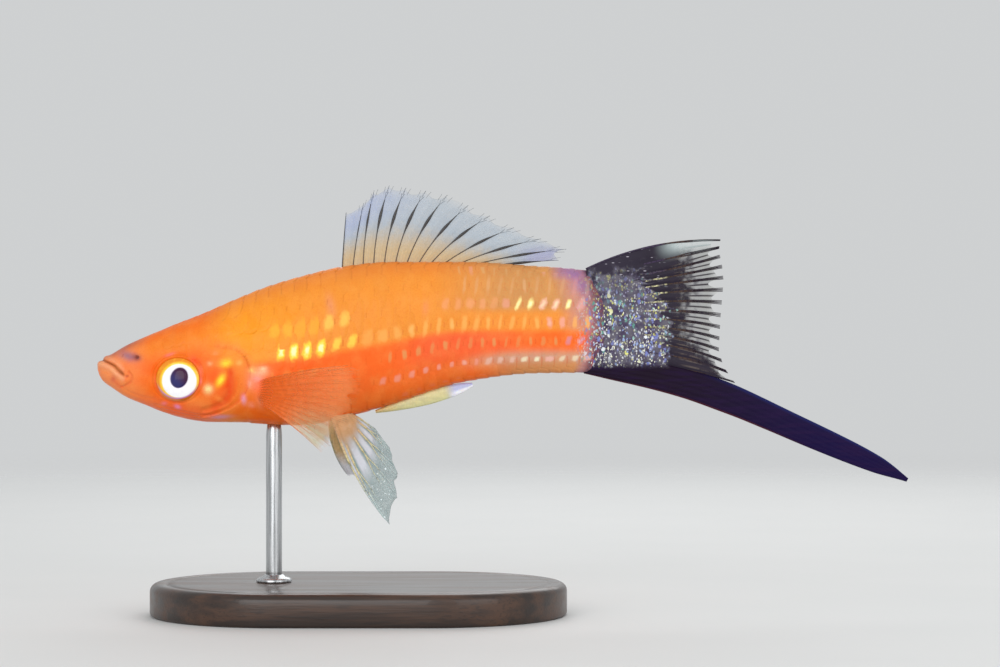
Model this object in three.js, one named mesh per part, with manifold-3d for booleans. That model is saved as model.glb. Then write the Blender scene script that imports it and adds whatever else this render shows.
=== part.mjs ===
// A male swordtail, life size, swimming with its head a little low, on a small display stand.
// Millimetres. +X runs from the snout to the tail, +Z is up and -Y is the fish's left side.
// The origin is on the ground, under the middle of the whole length.
import * as THREE from "three";
import { mergeVertices } from "three/addons/utils/BufferGeometryUtils.js";
import Module from "manifold-3d";

const wasm = await Module();
wasm.setup();

// Driving dimensions
const GAP = 0.3; // clear space between neighbouring pieces
const CUT = 0.3; // width of the thin cuts that part the body
const GROUND = 0;

// The body's outline at named places: x, height of the back and of the belly above the ground,
// half the width, and the height of the widest line as a share of the depth.
const STATIONS = [
  { at: "snout tip", x: -50.6, back: 31.0, belly: 30.2, half: 0.7, widest: 0.5 },
  { at: "lips", x: -49.9, back: 31.9, belly: 29.1, half: 1.75, widest: 0.5 },
  { at: "chin", x: -48.7, back: 32.6, belly: 28.2, half: 2.45, widest: 0.5 },
  { at: "mouth corner", x: -47.0, back: 33.6, belly: 27.1, half: 2.95, widest: 0.5 },
  { at: "nostril", x: -44.6, back: 34.7, belly: 26.1, half: 3.45, widest: 0.47 },
  { at: "eye", x: -40.7, back: 36.3, belly: 24.6, half: 4.2, widest: 0.42 },
  { at: "cheek", x: -37.6, back: 37.5, belly: 24.0, half: 4.6, widest: 0.42 },
  { at: "gill cover", x: -33.5, back: 39.3, belly: 23.8, half: 4.95, widest: 0.43 },
  { at: "shoulder", x: -29.5, back: 40.9, belly: 23.7, half: 5.15, widest: 0.45 },
  { at: "deepest belly", x: -25.2, back: 42.2, belly: 23.6, half: 5.15, widest: 0.47 },
  { at: "dorsal origin", x: -20.1, back: 43.4, belly: 24.5, half: 4.9, widest: 0.5 },
  { at: "vent", x: -14.0, back: 44.0, belly: 26.2, half: 4.3, widest: 0.52 },
  { at: "dorsal end", x: -5.0, back: 44.0, belly: 29.0, half: 3.3, widest: 0.53 },
  { at: "tail stem", x: 4.0, back: 43.5, belly: 30.1, half: 2.45, widest: 0.53 },
  { at: "tail root", x: 10.6, back: 42.9, belly: 30.2, half: 1.65, widest: 0.52 },
  { at: "stem end", x: 12.6, back: 40.6, belly: 32.2, half: 0.8, widest: 0.52 },
];
const SNOUT = STATIONS[0].x;
const STEM_END = STATIONS[STATIONS.length - 1].x;
const CROSS = 24; // points round a cross-section
// Roundness of a cross-section above and below its widest line: 2 is an ellipse, more is boxier.
const HEAD_ROUND = { upper: 2.5, lower: 2.1 };
const TRUNK_ROUND = { upper: 1.9, lower: 2.15 };

const EYE = { x: -40.15, z: 29.5, across: 5.2, thick: 3.5, offCentre: 3.05 };
const HEAD_END = -32.4; // the cut between head and trunk, under the gill covers
const STEM_START = 0.8; // the cut between trunk and tail stem

const MOUTH = {
  tip: { x: -50.1, z: 31.75 }, // front end of the mouth's line
  corner: { x: -46.9, z: 29.45 },
  chin: { x: -47.6, z: 26.3 }, // rear end of the lower jaw, underneath
  lip: 1.15, // depth of the upper lip
};

const GILL = {
  front: -36.6,
  frontTop: 31.6, // upper end of the straight front edge
  rear: -30.2,
  top: 33.4,
  bottom: 23.2,
  middle: 28.6, // height of the rearmost point
  thick: 1.1,
  fromKeel: 0.8, // how far each cover stops from the middle line underneath
};

const FIN_WEB = 0.5; // thickness of the membrane between rays
const FIN_RAY = 0.62;

// A cubic through the stations that never overshoots them.
function track(key) {
  const xs = STATIONS.map((s) => s.x);
  const ys = STATIONS.map((s) => s[key]);
  const slopes = xs.slice(1).map((x, i) => (ys[i + 1] - ys[i]) / (x - xs[i]));
  const last = xs.length - 1;
  const tangents = xs.map((_, i) => {
    if (i === 0) return slopes[0];
    if (i === last) return slopes[last - 1];
    const [a, b] = [slopes[i - 1], slopes[i]];
    return a * b <= 0 ? 0 : (2 * a * b) / (a + b);
  });
  return (x) => {
    const at = Math.min(Math.max(x, xs[0]), xs[last]);
    let i = 0;
    while (i < last - 1 && at > xs[i + 1]) i += 1;
    const width = xs[i + 1] - xs[i];
    const t = (at - xs[i]) / width;
    const t2 = t * t;
    const t3 = t2 * t;
    return (
      (2 * t3 - 3 * t2 + 1) * ys[i] +
      (t3 - 2 * t2 + t) * width * tangents[i] +
      (3 * t2 - 2 * t3) * ys[i + 1] +
      (t3 - t2) * width * tangents[i + 1]
    );
  };
}

const BODY = {
  back: track("back"),
  belly: track("belly"),
  half: track("half"),
  widest: track("widest"),
};

const mix = (a, b, t) => a + (b - a) * t;
const radians = THREE.MathUtils.degToRad;
const signedPower = (value, power) => Math.sign(value) * Math.abs(value) ** power;

// One point of the body's surface, grown outwards; angle 0 is the left side and a quarter turn is the back.
function bodyPoint(x, angle, grow = 0) {
  const back = BODY.back(x) + grow;
  const belly = BODY.belly(x) - grow;
  const middle = mix(belly, back, BODY.widest(x));
  const trunk = THREE.MathUtils.smoothstep(x, EYE.x, GILL.rear);
  const upper = mix(HEAD_ROUND.upper, TRUNK_ROUND.upper, trunk);
  const lower = mix(HEAD_ROUND.lower, TRUNK_ROUND.lower, trunk);
  const up = Math.sin(angle);
  const power = 2 / (up >= 0 ? upper : lower);
  const reach = up >= 0 ? back - middle : middle - belly;
  return new THREE.Vector3(
    x,
    -(BODY.half(x) + grow) * signedPower(Math.cos(angle), power),
    middle + reach * signedPower(up, power),
  );
}

function solidFrom(points, triangles) {
  const vertProperties = new Float32Array(points.flatMap((p) => [p.x, p.y, p.z]));
  const mesh = new wasm.Mesh({ numProp: 3, vertProperties, triVerts: new Uint32Array(triangles) });
  return new wasm.Manifold(mesh);
}

// The one body that is left when a cut has also made slivers.
function mainBody(solid) {
  return solid.decompose().reduce((a, b) => (a.volume() > b.volume() ? a : b));
}

// A three.js geometry as a solid, after it has been placed.
function solidOf(geometry) {
  const bare = geometry.clone();
  bare.deleteAttribute("normal");
  bare.deleteAttribute("uv");
  const merged = mergeVertices(bare, 1e-4);
  const mesh = new wasm.Mesh({
    numProp: 3,
    vertProperties: new Float32Array(merged.attributes.position.array),
    triVerts: new Uint32Array(merged.index.array),
  });
  return new wasm.Manifold(mesh);
}

function geometryOf(solid) {
  const mesh = solid.getMesh();
  const geometry = new THREE.BufferGeometry();
  geometry.setAttribute("position", new THREE.BufferAttribute(mesh.vertProperties, 3));
  geometry.setIndex(new THREE.BufferAttribute(mesh.triVerts, 1));
  const flat = geometry.toNonIndexed();
  flat.computeVertexNormals();
  return flat;
}

// Rings of equal length, joined and closed at both ends.
function loft(rings) {
  const around = rings[0].length;
  const centre = (ring) =>
    ring.reduce((sum, p) => sum.add(p), new THREE.Vector3()).divideScalar(around);
  const points = [...rings.flat(), centre(rings[0]), centre(rings[rings.length - 1])];
  const [first, last] = [points.length - 2, points.length - 1];
  const triangles = [];
  for (let i = 0; i < rings.length - 1; i += 1) {
    for (let k = 0; k < around; k += 1) {
      const next = (k + 1) % around;
      const [a, b] = [i * around + k, i * around + next];
      triangles.push(a, b, b + around, a, b + around, a + around);
    }
  }
  const end = (rings.length - 1) * around;
  for (let k = 0; k < around; k += 1) {
    const next = (k + 1) % around;
    triangles.push(first, next, k, last, end + k, end + next);
  }
  const solid = solidFrom(points, triangles);
  return solid.volume() < 0 ? solidFrom(points, triangles.reverse()) : solid;
}

// The whole body, grown outwards by a distance. Rings stand closer together on the head.
function bodySolid(grow = 0) {
  const headRings = 15;
  const rearRings = 17;
  const places = [];
  for (let i = 0; i < headRings; i += 1) {
    places.push(mix(SNOUT, HEAD_END, (i / headRings) ** 1.35));
  }
  for (let i = 0; i <= rearRings; i += 1) {
    places.push(mix(HEAD_END, STEM_END, 1 - (1 - i / rearRings) ** 1.15));
  }
  const middle = (SNOUT + STEM_END) / 2;
  const stretch = (STEM_END - middle + grow) / (STEM_END - middle);
  const rings = places.map((x) =>
    Array.from({ length: CROSS }, (_, k) => {
      const point = bodyPoint(x, (k / CROSS) * 2 * Math.PI, grow);
      point.x = middle + (x - middle) * stretch;
      return point;
    }),
  );
  return loft(rings);
}

const WIDE = 30; // longer than the body is wide

// A flat outline in the XZ plane, made a solid that reaches from one Y to another.
function prism(outline, fromY = -WIDE / 2, toY = WIDE / 2, curveSegments = 10) {
  const shape = outline instanceof THREE.Shape ? outline : new THREE.Shape(outline);
  const geometry = new THREE.ExtrudeGeometry(shape, {
    depth: toY - fromY,
    bevelEnabled: false,
    curveSegments,
  });
  geometry.rotateX(Math.PI / 2);
  geometry.translate(0, toY, 0);
  return solidOf(geometry);
}

const corner = (x, z) => new THREE.Vector2(x, z);

// Everything between two planes across the length.
function between(fromX, toX) {
  const [low, high] = [GROUND - WIDE, GROUND + 4 * WIDE];
  return prism([corner(fromX, low), corner(toX, low), corner(toX, high), corner(fromX, high)]);
}

const body = bodySolid();
const bodyClear = bodySolid(GAP);

// Eyes: flattened balls that bulge a little from their sockets.
function eyeBall(side, grow) {
  const geometry = new THREE.SphereGeometry(1, 18, 10);
  geometry.rotateX(Math.PI / 2);
  geometry.scale(EYE.across / 2 + grow, EYE.thick / 2 + grow, EYE.across / 2 + grow);
  geometry.rotateY(0.02);
  geometry.translate(EYE.x, side * EYE.offCentre, EYE.z);
  return solidOf(geometry);
}

// The gill cover's outline: a straight front edge and a rounded rear one, grown by a distance.
function gillOutline(grow) {
  const [front, rear] = [GILL.front - grow, GILL.rear + grow];
  const [low, high, middle] = [GILL.bottom - grow, GILL.top + grow, GILL.middle];
  const shape = new THREE.Shape();
  shape.moveTo(front, low);
  shape.bezierCurveTo(GILL.front + 3, low, rear, low + 2, rear, middle);
  shape.bezierCurveTo(rear, high - 2, GILL.rear - 2, high, GILL.front + 1.2, high);
  shape.lineTo(front, GILL.frontTop + grow);
  shape.closePath();
  return shape;
}

function gillCover(side) {
  const inner = GILL.fromKeel;
  const [near, far] = side < 0 ? [-WIDE / 2, -inner] : [inner, WIDE / 2];
  const plate = body.subtract(bodySolid(-GILL.thick));
  return plate.intersect(prism(gillOutline(0), near, far));
}

function gillSlot(side) {
  const inner = GILL.fromKeel - GAP;
  const [near, far] = side < 0 ? [-WIDE / 2, -inner] : [inner, WIDE / 2];
  const band = bodySolid(2).subtract(bodySolid(-GILL.thick - GAP));
  return band.intersect(prism(gillOutline(GAP), near, far));
}

// The jaws, parted from the head along the mouth's line.
function alongMouth(share, drop) {
  const { tip, corner: back } = MOUTH;
  const length = Math.hypot(back.x - tip.x, back.z - tip.z);
  const along = { x: (back.x - tip.x) / length, z: (back.z - tip.z) / length };
  const x = tip.x + along.x * share * length + along.z * drop;
  const z = tip.z + along.z * share * length - along.x * drop;
  return corner(x, z);
}

function lowerJawOutline(grow) {
  return [
    alongMouth(-1.2, CUT / 2 - grow),
    alongMouth(1, CUT / 2 - grow).add(corner(grow, 0)),
    corner(MOUTH.chin.x + grow, MOUTH.chin.z - 2),
    corner(SNOUT - 4, MOUTH.chin.z - 2),
  ];
}

function upperLipOutline(grow) {
  return [
    alongMouth(-1.2, -CUT / 2),
    alongMouth(-1.2, -CUT / 2 - MOUTH.lip - grow),
    alongMouth(0.86, -CUT / 2 - MOUTH.lip - grow).add(corner(grow, 0)),
    alongMouth(1, -CUT / 2).add(corner(grow, 0)),
  ];
}

// Fins

// A fin ray in the fin's own plane: an arc from root to tip that turns by so many degrees on its way.
function rayPoint({ root, tip, turn }, share) {
  const chord = { u: tip[0] - root[0], v: tip[1] - root[1] };
  const half = radians(turn) / 2;
  if (Math.abs(half) < 1e-4) return [root[0] + chord.u * share, root[1] + chord.v * share];
  const reach = Math.sin(half * share) / Math.sin(half);
  const lead = half * (share - 1);
  return [
    root[0] + reach * (chord.u * Math.cos(lead) - chord.v * Math.sin(lead)),
    root[1] + reach * (chord.u * Math.sin(lead) + chord.v * Math.cos(lead)),
  ];
}

// A fan of rays with a thinner membrane between them, which ends a little short of the ray tips.
// place turns a point (u, v, off) of the fin's plane into space.
function fanSolid({ rays, steps, web = FIN_WEB, rib = FIN_RAY, rootRib = 1.0, notch = 0.06, place }) {
  const columns = [];
  rays.forEach((ray, i) => {
    const row = (at, reach) =>
      Array.from({ length: steps + 1 }, (_, j) => rayPoint(at, (j / steps) * reach));
    columns.push({ line: row(ray, 1), thick: rib, root: rootRib });
    if (i === rays.length - 1) return;
    const [one, two] = [row(ray, 1 - notch), row(rays[i + 1], 1 - notch)];
    const line = one.map(([u, v], j) => [(u + two[j][0]) / 2, (v + two[j][1]) / 2]);
    columns.push({ line, thick: web, root: rootRib * 0.8 });
  });
  const sheet = (sign) =>
    columns.flatMap(({ line, thick, root }) =>
      line.map(([u, v], j) => {
        const depth = mix(root, thick, Math.min(1, (j / steps) * 3));
        return place(u, v, (sign * depth) / 2);
      }),
    );
  const points = [...sheet(1), ...sheet(-1)];
  const rows = steps + 1;
  const under = columns.length * rows;
  const triangles = [];
  const quad = (a, b, c, d) => triangles.push(a, b, c, a, c, d);
  for (let i = 0; i < columns.length - 1; i += 1) {
    for (let j = 0; j < steps; j += 1) {
      const a = i * rows + j;
      const b = a + rows;
      quad(a, b, b + 1, a + 1);
      quad(a + 1 + under, b + 1 + under, b + under, a + under);
    }
    const [root, tip] = [i * rows, i * rows + steps];
    quad(root, root + under, root + rows + under, root + rows);
    quad(tip, tip + rows, tip + rows + under, tip + under);
  }
  const end = (columns.length - 1) * rows;
  for (let j = 0; j < steps; j += 1) {
    quad(j, j + 1, j + 1 + under, j + under);
    quad(end + j, end + j + under, end + j + 1 + under, end + j + 1);
  }
  const solid = solidFrom(points, triangles);
  return solid.volume() < 0 ? solidFrom(points, triangles.reverse()) : solid;
}

// A fan's rays from the first to the last, each value a function of the share of the way.
function fan(count, describe) {
  return Array.from({ length: count }, (_, i) => describe(i / (count - 1)));
}

// Values at even shares of the way, joined by straight stretches.
function along(values, share) {
  const at = share * (values.length - 1);
  const i = Math.min(Math.floor(at), values.length - 2);
  return mix(values[i], values[i + 1], at - i);
}

// Fins on the body's middle plane bend a little to one side, by a wave that grows from the root.
function midPlane(wave) {
  return (u, v, off) => new THREE.Vector3(u, off + wave(u, v), v);
}

// Each fin's margin is given by ray tips at even shares of the way from its first ray to its last.
const DORSAL = {
  rays: 13,
  from: -20.1,
  to: -4.4,
  sunk: 0.9, // how deep the rays' roots start in the back
  tipX: [-19.6, -17.4, -16.1, -14.2, -12.1, -9.6, -6.9, -4.3, -1.6, 1.4, 4.8, 8.0, 7.0],
  tipZ: [50.2, 51.4, 53.0, 53.6, 53.3, 52.9, 52.4, 51.1, 49.8, 48.3, 46.9, 45.6, 44.2],
  turn: [-2, -8, -14, -18, -22, -25, -24, -22, -20, -17, -14, -11, -7],
  sway: 0.45,
};

function dorsalFin() {
  const rays = fan(DORSAL.rays, (t) => {
    const x = mix(DORSAL.from, DORSAL.to, t);
    return {
      root: [x, BODY.back(x) - DORSAL.sunk],
      tip: [along(DORSAL.tipX, t), along(DORSAL.tipZ, t)],
      turn: along(DORSAL.turn, t),
    };
  });
  const place = midPlane((u, v) => {
    const height = Math.max(0, v - BODY.back(u)) / 10;
    return DORSAL.sway * height * Math.sin((u - DORSAL.from) * 0.42);
  });
  return fanSolid({ rays, steps: 6, notch: 0.07, place }).subtract(bodyClear);
}

const TAIL = {
  rays: 14,
  root: 10.4,
  top: 43.0,
  bottom: 31.7,
  tipX: [27.2, 27.0, 27.4, 27.6, 27.4, 27.2, 27.1, 27.0, 27.6, 29.0],
  tipZ: [46.8, 45.4, 43.6, 41.6, 39.3, 37.0, 34.9, 32.9, 30.9, 28.9],
  turn: [-28, -16, -6, -2, -2, -4, -6, -8, -12, -18],
  sway: 0.5,
};

const tailSway = (u) => TAIL.sway * Math.sin(Math.max(0, u - TAIL.root) * 0.085);

function tailFin() {
  const rays = fan(TAIL.rays, (t) => ({
    root: [TAIL.root, mix(TAIL.top, TAIL.bottom, t)],
    tip: [along(TAIL.tipX, t), along(TAIL.tipZ, t)],
    turn: along(TAIL.turn, t),
  }));
  return fanSolid({ rays, steps: 6, rootRib: 1.3, notch: 0.1, place: midPlane(tailSway) });
}

// The sword: the lowest tail rays, drawn out side by side along one bent line.
const SWORD = {
  rays: 4,
  root: [10.2, 31.0],
  headings: [-6, -8, -11.5, -15.5, -20.5, -24, -24.5, -24, -24, -25, -29],
  length: 43.0,
  half: [0.95, 1.4, 1.65, 1.8, 1.9, 1.8, 1.68, 1.58, 1.42, 1.1, 0.25],
  steps: 17,
  thick: 0.95,
};

function swordSpine() {
  const line = [SWORD.root];
  for (let i = 0; i < SWORD.steps; i += 1) {
    const heading = radians(along(SWORD.headings, (i + 0.5) / SWORD.steps));
    const [u, v] = line[i];
    const step = SWORD.length / SWORD.steps;
    line.push([u + Math.cos(heading) * step, v + Math.sin(heading) * step]);
  }
  return line;
}

function swordSolid(grow = 0) {
  const across = 2 * SWORD.rays + 1;
  const rings = swordSpine().map(([u, v], i) => {
    const share = i / SWORD.steps;
    const heading = radians(along(SWORD.headings, share));
    const half = along(SWORD.half, share) + grow;
    const side = (sign) =>
      Array.from({ length: across }, (_, k) => {
        const at = -1 + (2 * k) / (across - 1);
        const edge = Math.sqrt(Math.max(0, 1 - at ** 4));
        const ridge = k % 2 ? 1 : 0.82;
        const depth = (SWORD.thick * mix(1, 0.6, share) * mix(0.6, 1, edge) * ridge) / 2 + grow;
        const [x, z] = [u - Math.sin(heading) * half * at, v + Math.cos(heading) * half * at];
        return new THREE.Vector3(x, sign * depth + tailSway(x), z);
      });
    return [...side(-1), ...side(1).reverse()];
  });
  return loft(rings);
}

// A plane for a paired fin: u runs back along the fin and v up, and the plane is turned out from
// the flank by so many degrees about its root.
function sidePlane(side, root, splay, cup = 0) {
  const [c, s] = [Math.cos(radians(splay)), Math.sin(radians(splay))];
  return (u, v, off) => {
    const out = u * s + off * c + cup * u * u;
    return new THREE.Vector3(root.x + u * c - off * s, root.y + side * out, root.z + v);
  };
}

const PECTORAL = {
  rays: 10,
  x: -30.9,
  z: [28.9, 26.6], // upper and lower end of the root
  tipU: [13.4, 15.0, 15.2, 14.4, 12.9, 11.3, 9.7],
  tipV: [31.2, 30.6, 28.5, 26.2, 24.1, 22.2, 20.5],
  turn: [-12, -10, -6, -4, -4, -8, -12],
  splay: 24,
  cup: 0.004,
};

function pectoralFin(side) {
  const rays = fan(PECTORAL.rays, (t) => ({
    root: [t, mix(PECTORAL.z[0], PECTORAL.z[1], t)],
    tip: [along(PECTORAL.tipU, t), along(PECTORAL.tipV, t)],
    turn: along(PECTORAL.turn, t),
  }));
  const root = new THREE.Vector3(PECTORAL.x, side * (BODY.half(PECTORAL.x) - 0.75), 0);
  const place = sidePlane(side, root, PECTORAL.splay, PECTORAL.cup);
  return fanSolid({ rays, steps: 5, rootRib: 0.9, notch: 0.05, place }).subtract(bodyClear);
}

// Pelvic fins hang from the belly: v runs up and the plane leans out from the keel.
const PELVIC = {
  rays: 6,
  x: -20.9,
  left: {
    lean: 14,
    tipU: [6.6, 7.1, 8.0, 8.0, 7.0, 5.2],
    tipV: [-13.2, -13.8, -10.4, -7.2, -4.0, -1.6],
    turn: [26, 20, 10, 2, -6, -14],
  },
  right: {
    lean: 52,
    tipU: [1.0, 2.2, 3.4, 4.4, 4.8, 5.0],
    tipV: [-13.2, -13.4, -11.8, -9.6, -7.0, -4.2],
    turn: [34, 28, 20, 12, 6, 0],
  },
};

function pelvicFin(side) {
  const pose = side < 0 ? PELVIC.left : PELVIC.right;
  const rays = fan(PELVIC.rays, (t) => ({
    root: [mix(-0.5, 1.9, t), 0.9 - t * 0.5],
    tip: [along(pose.tipU, t), along(pose.tipV, t)],
    turn: along(pose.turn, t),
  }));
  const [c, s] = [Math.cos(radians(pose.lean)), Math.sin(radians(pose.lean))];
  const root = new THREE.Vector3(PELVIC.x, side * 1.35, BODY.belly(PELVIC.x) + 0.3);
  const place = (u, v, off) =>
    new THREE.Vector3(root.x + u, root.y + side * (-v * s + off * c), root.z + v * c + off * s);
  return fanSolid({ rays, steps: 6, notch: 0.08, place }).subtract(bodyClear);
}

// The anal fin of a male is a slim rod, held back along the belly.
const GONOPODIUM = {
  root: [-15.9, 25.3],
  tip: [-3.8, 28.7],
  turn: 3,
  depth: [0.4, 0.9, 1.3, 1.6, 1.75, 1.65, 1.3, 0.5],
  thick: 0.95,
};

function gonopodium() {
  const steps = 14;
  const around = 8;
  const { root, tip, turn, depth, thick } = GONOPODIUM;
  const chord = Math.atan2(tip[1] - root[1], tip[0] - root[0]);
  const rings = Array.from({ length: steps + 1 }, (_, i) => {
    const share = i / steps;
    const [u, v] = rayPoint(GONOPODIUM, share);
    const heading = chord + radians(turn) * (share - 0.5);
    const half = along(depth, share) / 2;
    return Array.from({ length: around }, (_, k) => {
      const angle = (k / around) * 2 * Math.PI;
      const reach = half * Math.sin(angle);
      return new THREE.Vector3(
        u - Math.sin(heading) * reach,
        (thick / 2) * Math.cos(angle) * mix(1, 0.55, share),
        v + Math.cos(heading) * reach,
      );
    });
  });
  return loft(rings).subtract(bodyClear);
}

// The stand: an oval base and one rod up to the belly, just ahead of the pelvic fins.
const STAND = {
  x: -18,
  length: 52,
  width: 34,
  height: 4,
  bevel: 0.6,
  rodX: -28.6,
  rodAcross: 2,
  rodSides: 16,
};

function standBase() {
  const radius = STAND.width / 2 - STAND.bevel;
  const half = STAND.length / 2 - STAND.width / 2;
  const shape = new THREE.Shape();
  shape.moveTo(STAND.x - half, -radius);
  shape.lineTo(STAND.x + half, -radius);
  shape.absarc(STAND.x + half, 0, radius, -Math.PI / 2, Math.PI / 2, false);
  shape.lineTo(STAND.x - half, radius);
  shape.absarc(STAND.x - half, 0, radius, Math.PI / 2, (3 * Math.PI) / 2, false);
  const geometry = new THREE.ExtrudeGeometry(shape, {
    depth: STAND.height - 2 * STAND.bevel,
    bevelThickness: STAND.bevel,
    bevelSize: STAND.bevel,
    bevelSegments: 1,
    curveSegments: 10,
  });
  geometry.translate(0, 0, STAND.bevel);
  return solidOf(geometry);
}

function standRod() {
  const top = BODY.belly(STAND.rodX) + 1;
  const foot = STAND.height + GAP;
  const geometry = new THREE.CylinderGeometry(
    STAND.rodAcross / 2,
    STAND.rodAcross / 2,
    top - foot,
    STAND.rodSides,
  );
  geometry.rotateX(Math.PI / 2);
  geometry.translate(STAND.rodX, 0, (top + foot) / 2);
  return solidOf(geometry).subtract(bodyClear);
}

// Colours and finish
function paint(color, roughness = 0.4, extra = {}) {
  return new THREE.MeshStandardMaterial({ color, roughness, metalness: 0, ...extra });
}
const ORANGE = paint(0xf08028);
const JAW = paint(0xf29a64);
const GILL_ORANGE = paint(0xf5682a);
const EYE_WHITE = paint(0xe8e8ee, 0.15);
const CLEAR_FIN = paint(0xb9bfb4, 0.35, { transparent: true, opacity: 0.6 });
const ORANGE_FIN = paint(0xe88a4a, 0.4, { transparent: true, opacity: 0.75 });
const PALE_FIN = paint(0xd8cfa2);
const BLACK_FIN = paint(0x241a30, 0.5);
const DARK_WOOD = paint(0x3b2a20, 0.5);
const STEEL = paint(0xb4b6b8, 0.3, { metalness: 1 });

const fish = new THREE.Group();

function add(name, solid, material, to = fish) {
  const mesh = new THREE.Mesh(geometryOf(mainBody(solid)), material);
  mesh.name = name;
  to.add(mesh);
}

const LEFT = -1;
const RIGHT = 1;

// Head
const gillSlots = gillSlot(LEFT).add(gillSlot(RIGHT));
const sockets = eyeBall(LEFT, GAP).add(eyeBall(RIGHT, GAP));
const lowerJawSpace = prism(lowerJawOutline(CUT));
const upperLipSpace = prism(upperLipOutline(CUT));
const head = body
  .intersect(between(SNOUT - 5, HEAD_END - CUT / 2))
  .subtract(gillSlots)
  .subtract(sockets)
  .subtract(lowerJawSpace)
  .subtract(upperLipSpace);
add("head", head, ORANGE);
add("upper_lip", body.intersect(prism(upperLipOutline(0))), JAW);
add("lower_jaw", body.intersect(prism(lowerJawOutline(0))), JAW);
add("gill_cover_left", gillCover(LEFT), GILL_ORANGE);
add("gill_cover_right", gillCover(RIGHT), GILL_ORANGE);
add("eye_left", eyeBall(LEFT, 0), EYE_WHITE);
add("eye_right", eyeBall(RIGHT, 0), EYE_WHITE);

// Trunk and tail stem
const trunk = body
  .intersect(between(HEAD_END + CUT / 2, STEM_START - CUT / 2))
  .subtract(gillSlots);
add("trunk", trunk, ORANGE);
add("tail_stem", body.intersect(between(STEM_START + CUT / 2, STEM_END + 5)), ORANGE);

// Fins
const swordClear = swordSolid(GAP);
add("dorsal_fin", dorsalFin(), CLEAR_FIN);
add("tail_fin", tailFin().subtract(bodyClear).subtract(swordClear), BLACK_FIN);
add("sword", swordSolid().subtract(bodyClear), BLACK_FIN);
add("pectoral_fin_left", pectoralFin(LEFT), ORANGE_FIN);
add("pectoral_fin_right", pectoralFin(RIGHT), ORANGE_FIN);
add("pelvic_fin_left", pelvicFin(LEFT), CLEAR_FIN);
add("pelvic_fin_right", pelvicFin(RIGHT), CLEAR_FIN);
add("gonopodium", gonopodium(), PALE_FIN);

// Stand
const stand = new THREE.Group();
add("stand_base", standBase(), DARK_WOOD, stand);
add("stand_rod", standRod(), STEEL, stand);
fish.add(stand);

export default fish;
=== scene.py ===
"""A male swordtail as a life-size display model: skin, scales, eyes, fins and a small stand.

Shapes are worked out in millimetres, in the frame of the solids: the head points to -X, the back
to +Z and the left side to -Y. They become metres when a mesh is made.
"""

import math

import bpy
import numpy as np
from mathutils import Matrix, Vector


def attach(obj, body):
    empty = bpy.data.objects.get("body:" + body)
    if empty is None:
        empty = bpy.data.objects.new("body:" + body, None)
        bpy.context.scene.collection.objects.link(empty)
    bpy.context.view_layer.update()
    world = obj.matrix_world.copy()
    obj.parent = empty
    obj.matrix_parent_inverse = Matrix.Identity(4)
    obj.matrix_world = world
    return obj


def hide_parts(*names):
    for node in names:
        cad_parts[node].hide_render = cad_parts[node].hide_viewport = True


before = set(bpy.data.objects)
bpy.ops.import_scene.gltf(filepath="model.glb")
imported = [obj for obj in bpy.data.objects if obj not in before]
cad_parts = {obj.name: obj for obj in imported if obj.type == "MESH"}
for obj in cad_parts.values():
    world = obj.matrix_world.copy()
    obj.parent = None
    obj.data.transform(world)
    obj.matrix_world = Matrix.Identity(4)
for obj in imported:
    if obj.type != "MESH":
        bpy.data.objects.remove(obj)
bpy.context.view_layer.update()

MM = 0.001
SEED = 20
TURN = 2 * math.pi
SIDES = {"left": -1, "right": 1}
FLESH = ["head", "upper_lip", "lower_jaw", "gill_cover_left", "gill_cover_right", "trunk", "tail_stem"]


# Numbers and curves


def mix(a, b, share):
    return a + (b - a) * share


def smooth(value, start, end):
    """0 before start and 1 after end, with an easy rise between them."""
    t = np.clip((np.asarray(value, float) - start) / (end - start), 0, 1)
    return t * t * (3 - 2 * t)


def bell(value, width):
    return np.exp(-((np.asarray(value, float) / width) ** 2))


def even(values, share):
    """Values at even shares of the way, joined by straight stretches."""
    return np.interp(share, np.linspace(0, 1, len(values)), values)


def circle(around):
    """Even angles all the way round."""
    return np.arange(around) / around * TURN


def track(xs, ys):
    """A cubic through points that never overshoots them."""
    xs, ys = np.array(xs, float), np.array(ys, float)
    slopes = np.diff(ys) / np.diff(xs)
    before, after = slopes[:-1], slopes[1:]
    turns_back = before * after <= 0
    inner = np.where(turns_back, 0, 2 * before * after / np.where(turns_back, 1, before + after))
    tangents = np.concatenate([slopes[:1], inner, slopes[-1:]])

    def at(x):
        x = np.clip(x, xs[0], xs[-1])
        i = np.clip(np.searchsorted(xs, x, side="right") - 1, 0, len(xs) - 2)
        width = xs[i + 1] - xs[i]
        t = (x - xs[i]) / width
        rise = (t**3 - 2 * t**2 + t) * tangents[i] + (t**3 - t**2) * tangents[i + 1]
        return mix(ys[i], ys[i + 1], 3 * t**2 - 2 * t**3) + rise * width

    return at


def from_line(x, z, line):
    """How far points are from a line in the side view, and on which side of it (above is +)."""
    best = np.full(np.shape(x), 1e9)
    side = np.zeros(np.shape(x))
    for (ax, az), (bx, bz) in zip(line[:-1], line[1:]):
        ux, uz = bx - ax, bz - az
        t = np.clip(((x - ax) * ux + (z - az) * uz) / (ux * ux + uz * uz), 0, 1)
        dx, dz = x - ax - t * ux, z - az - t * uz
        away = np.hypot(dx, dz)
        nearer = away < best
        best = np.where(nearer, away, best)
        side = np.where(nearer, np.sign(ux * dz - uz * dx), side)
    return best, side


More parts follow.
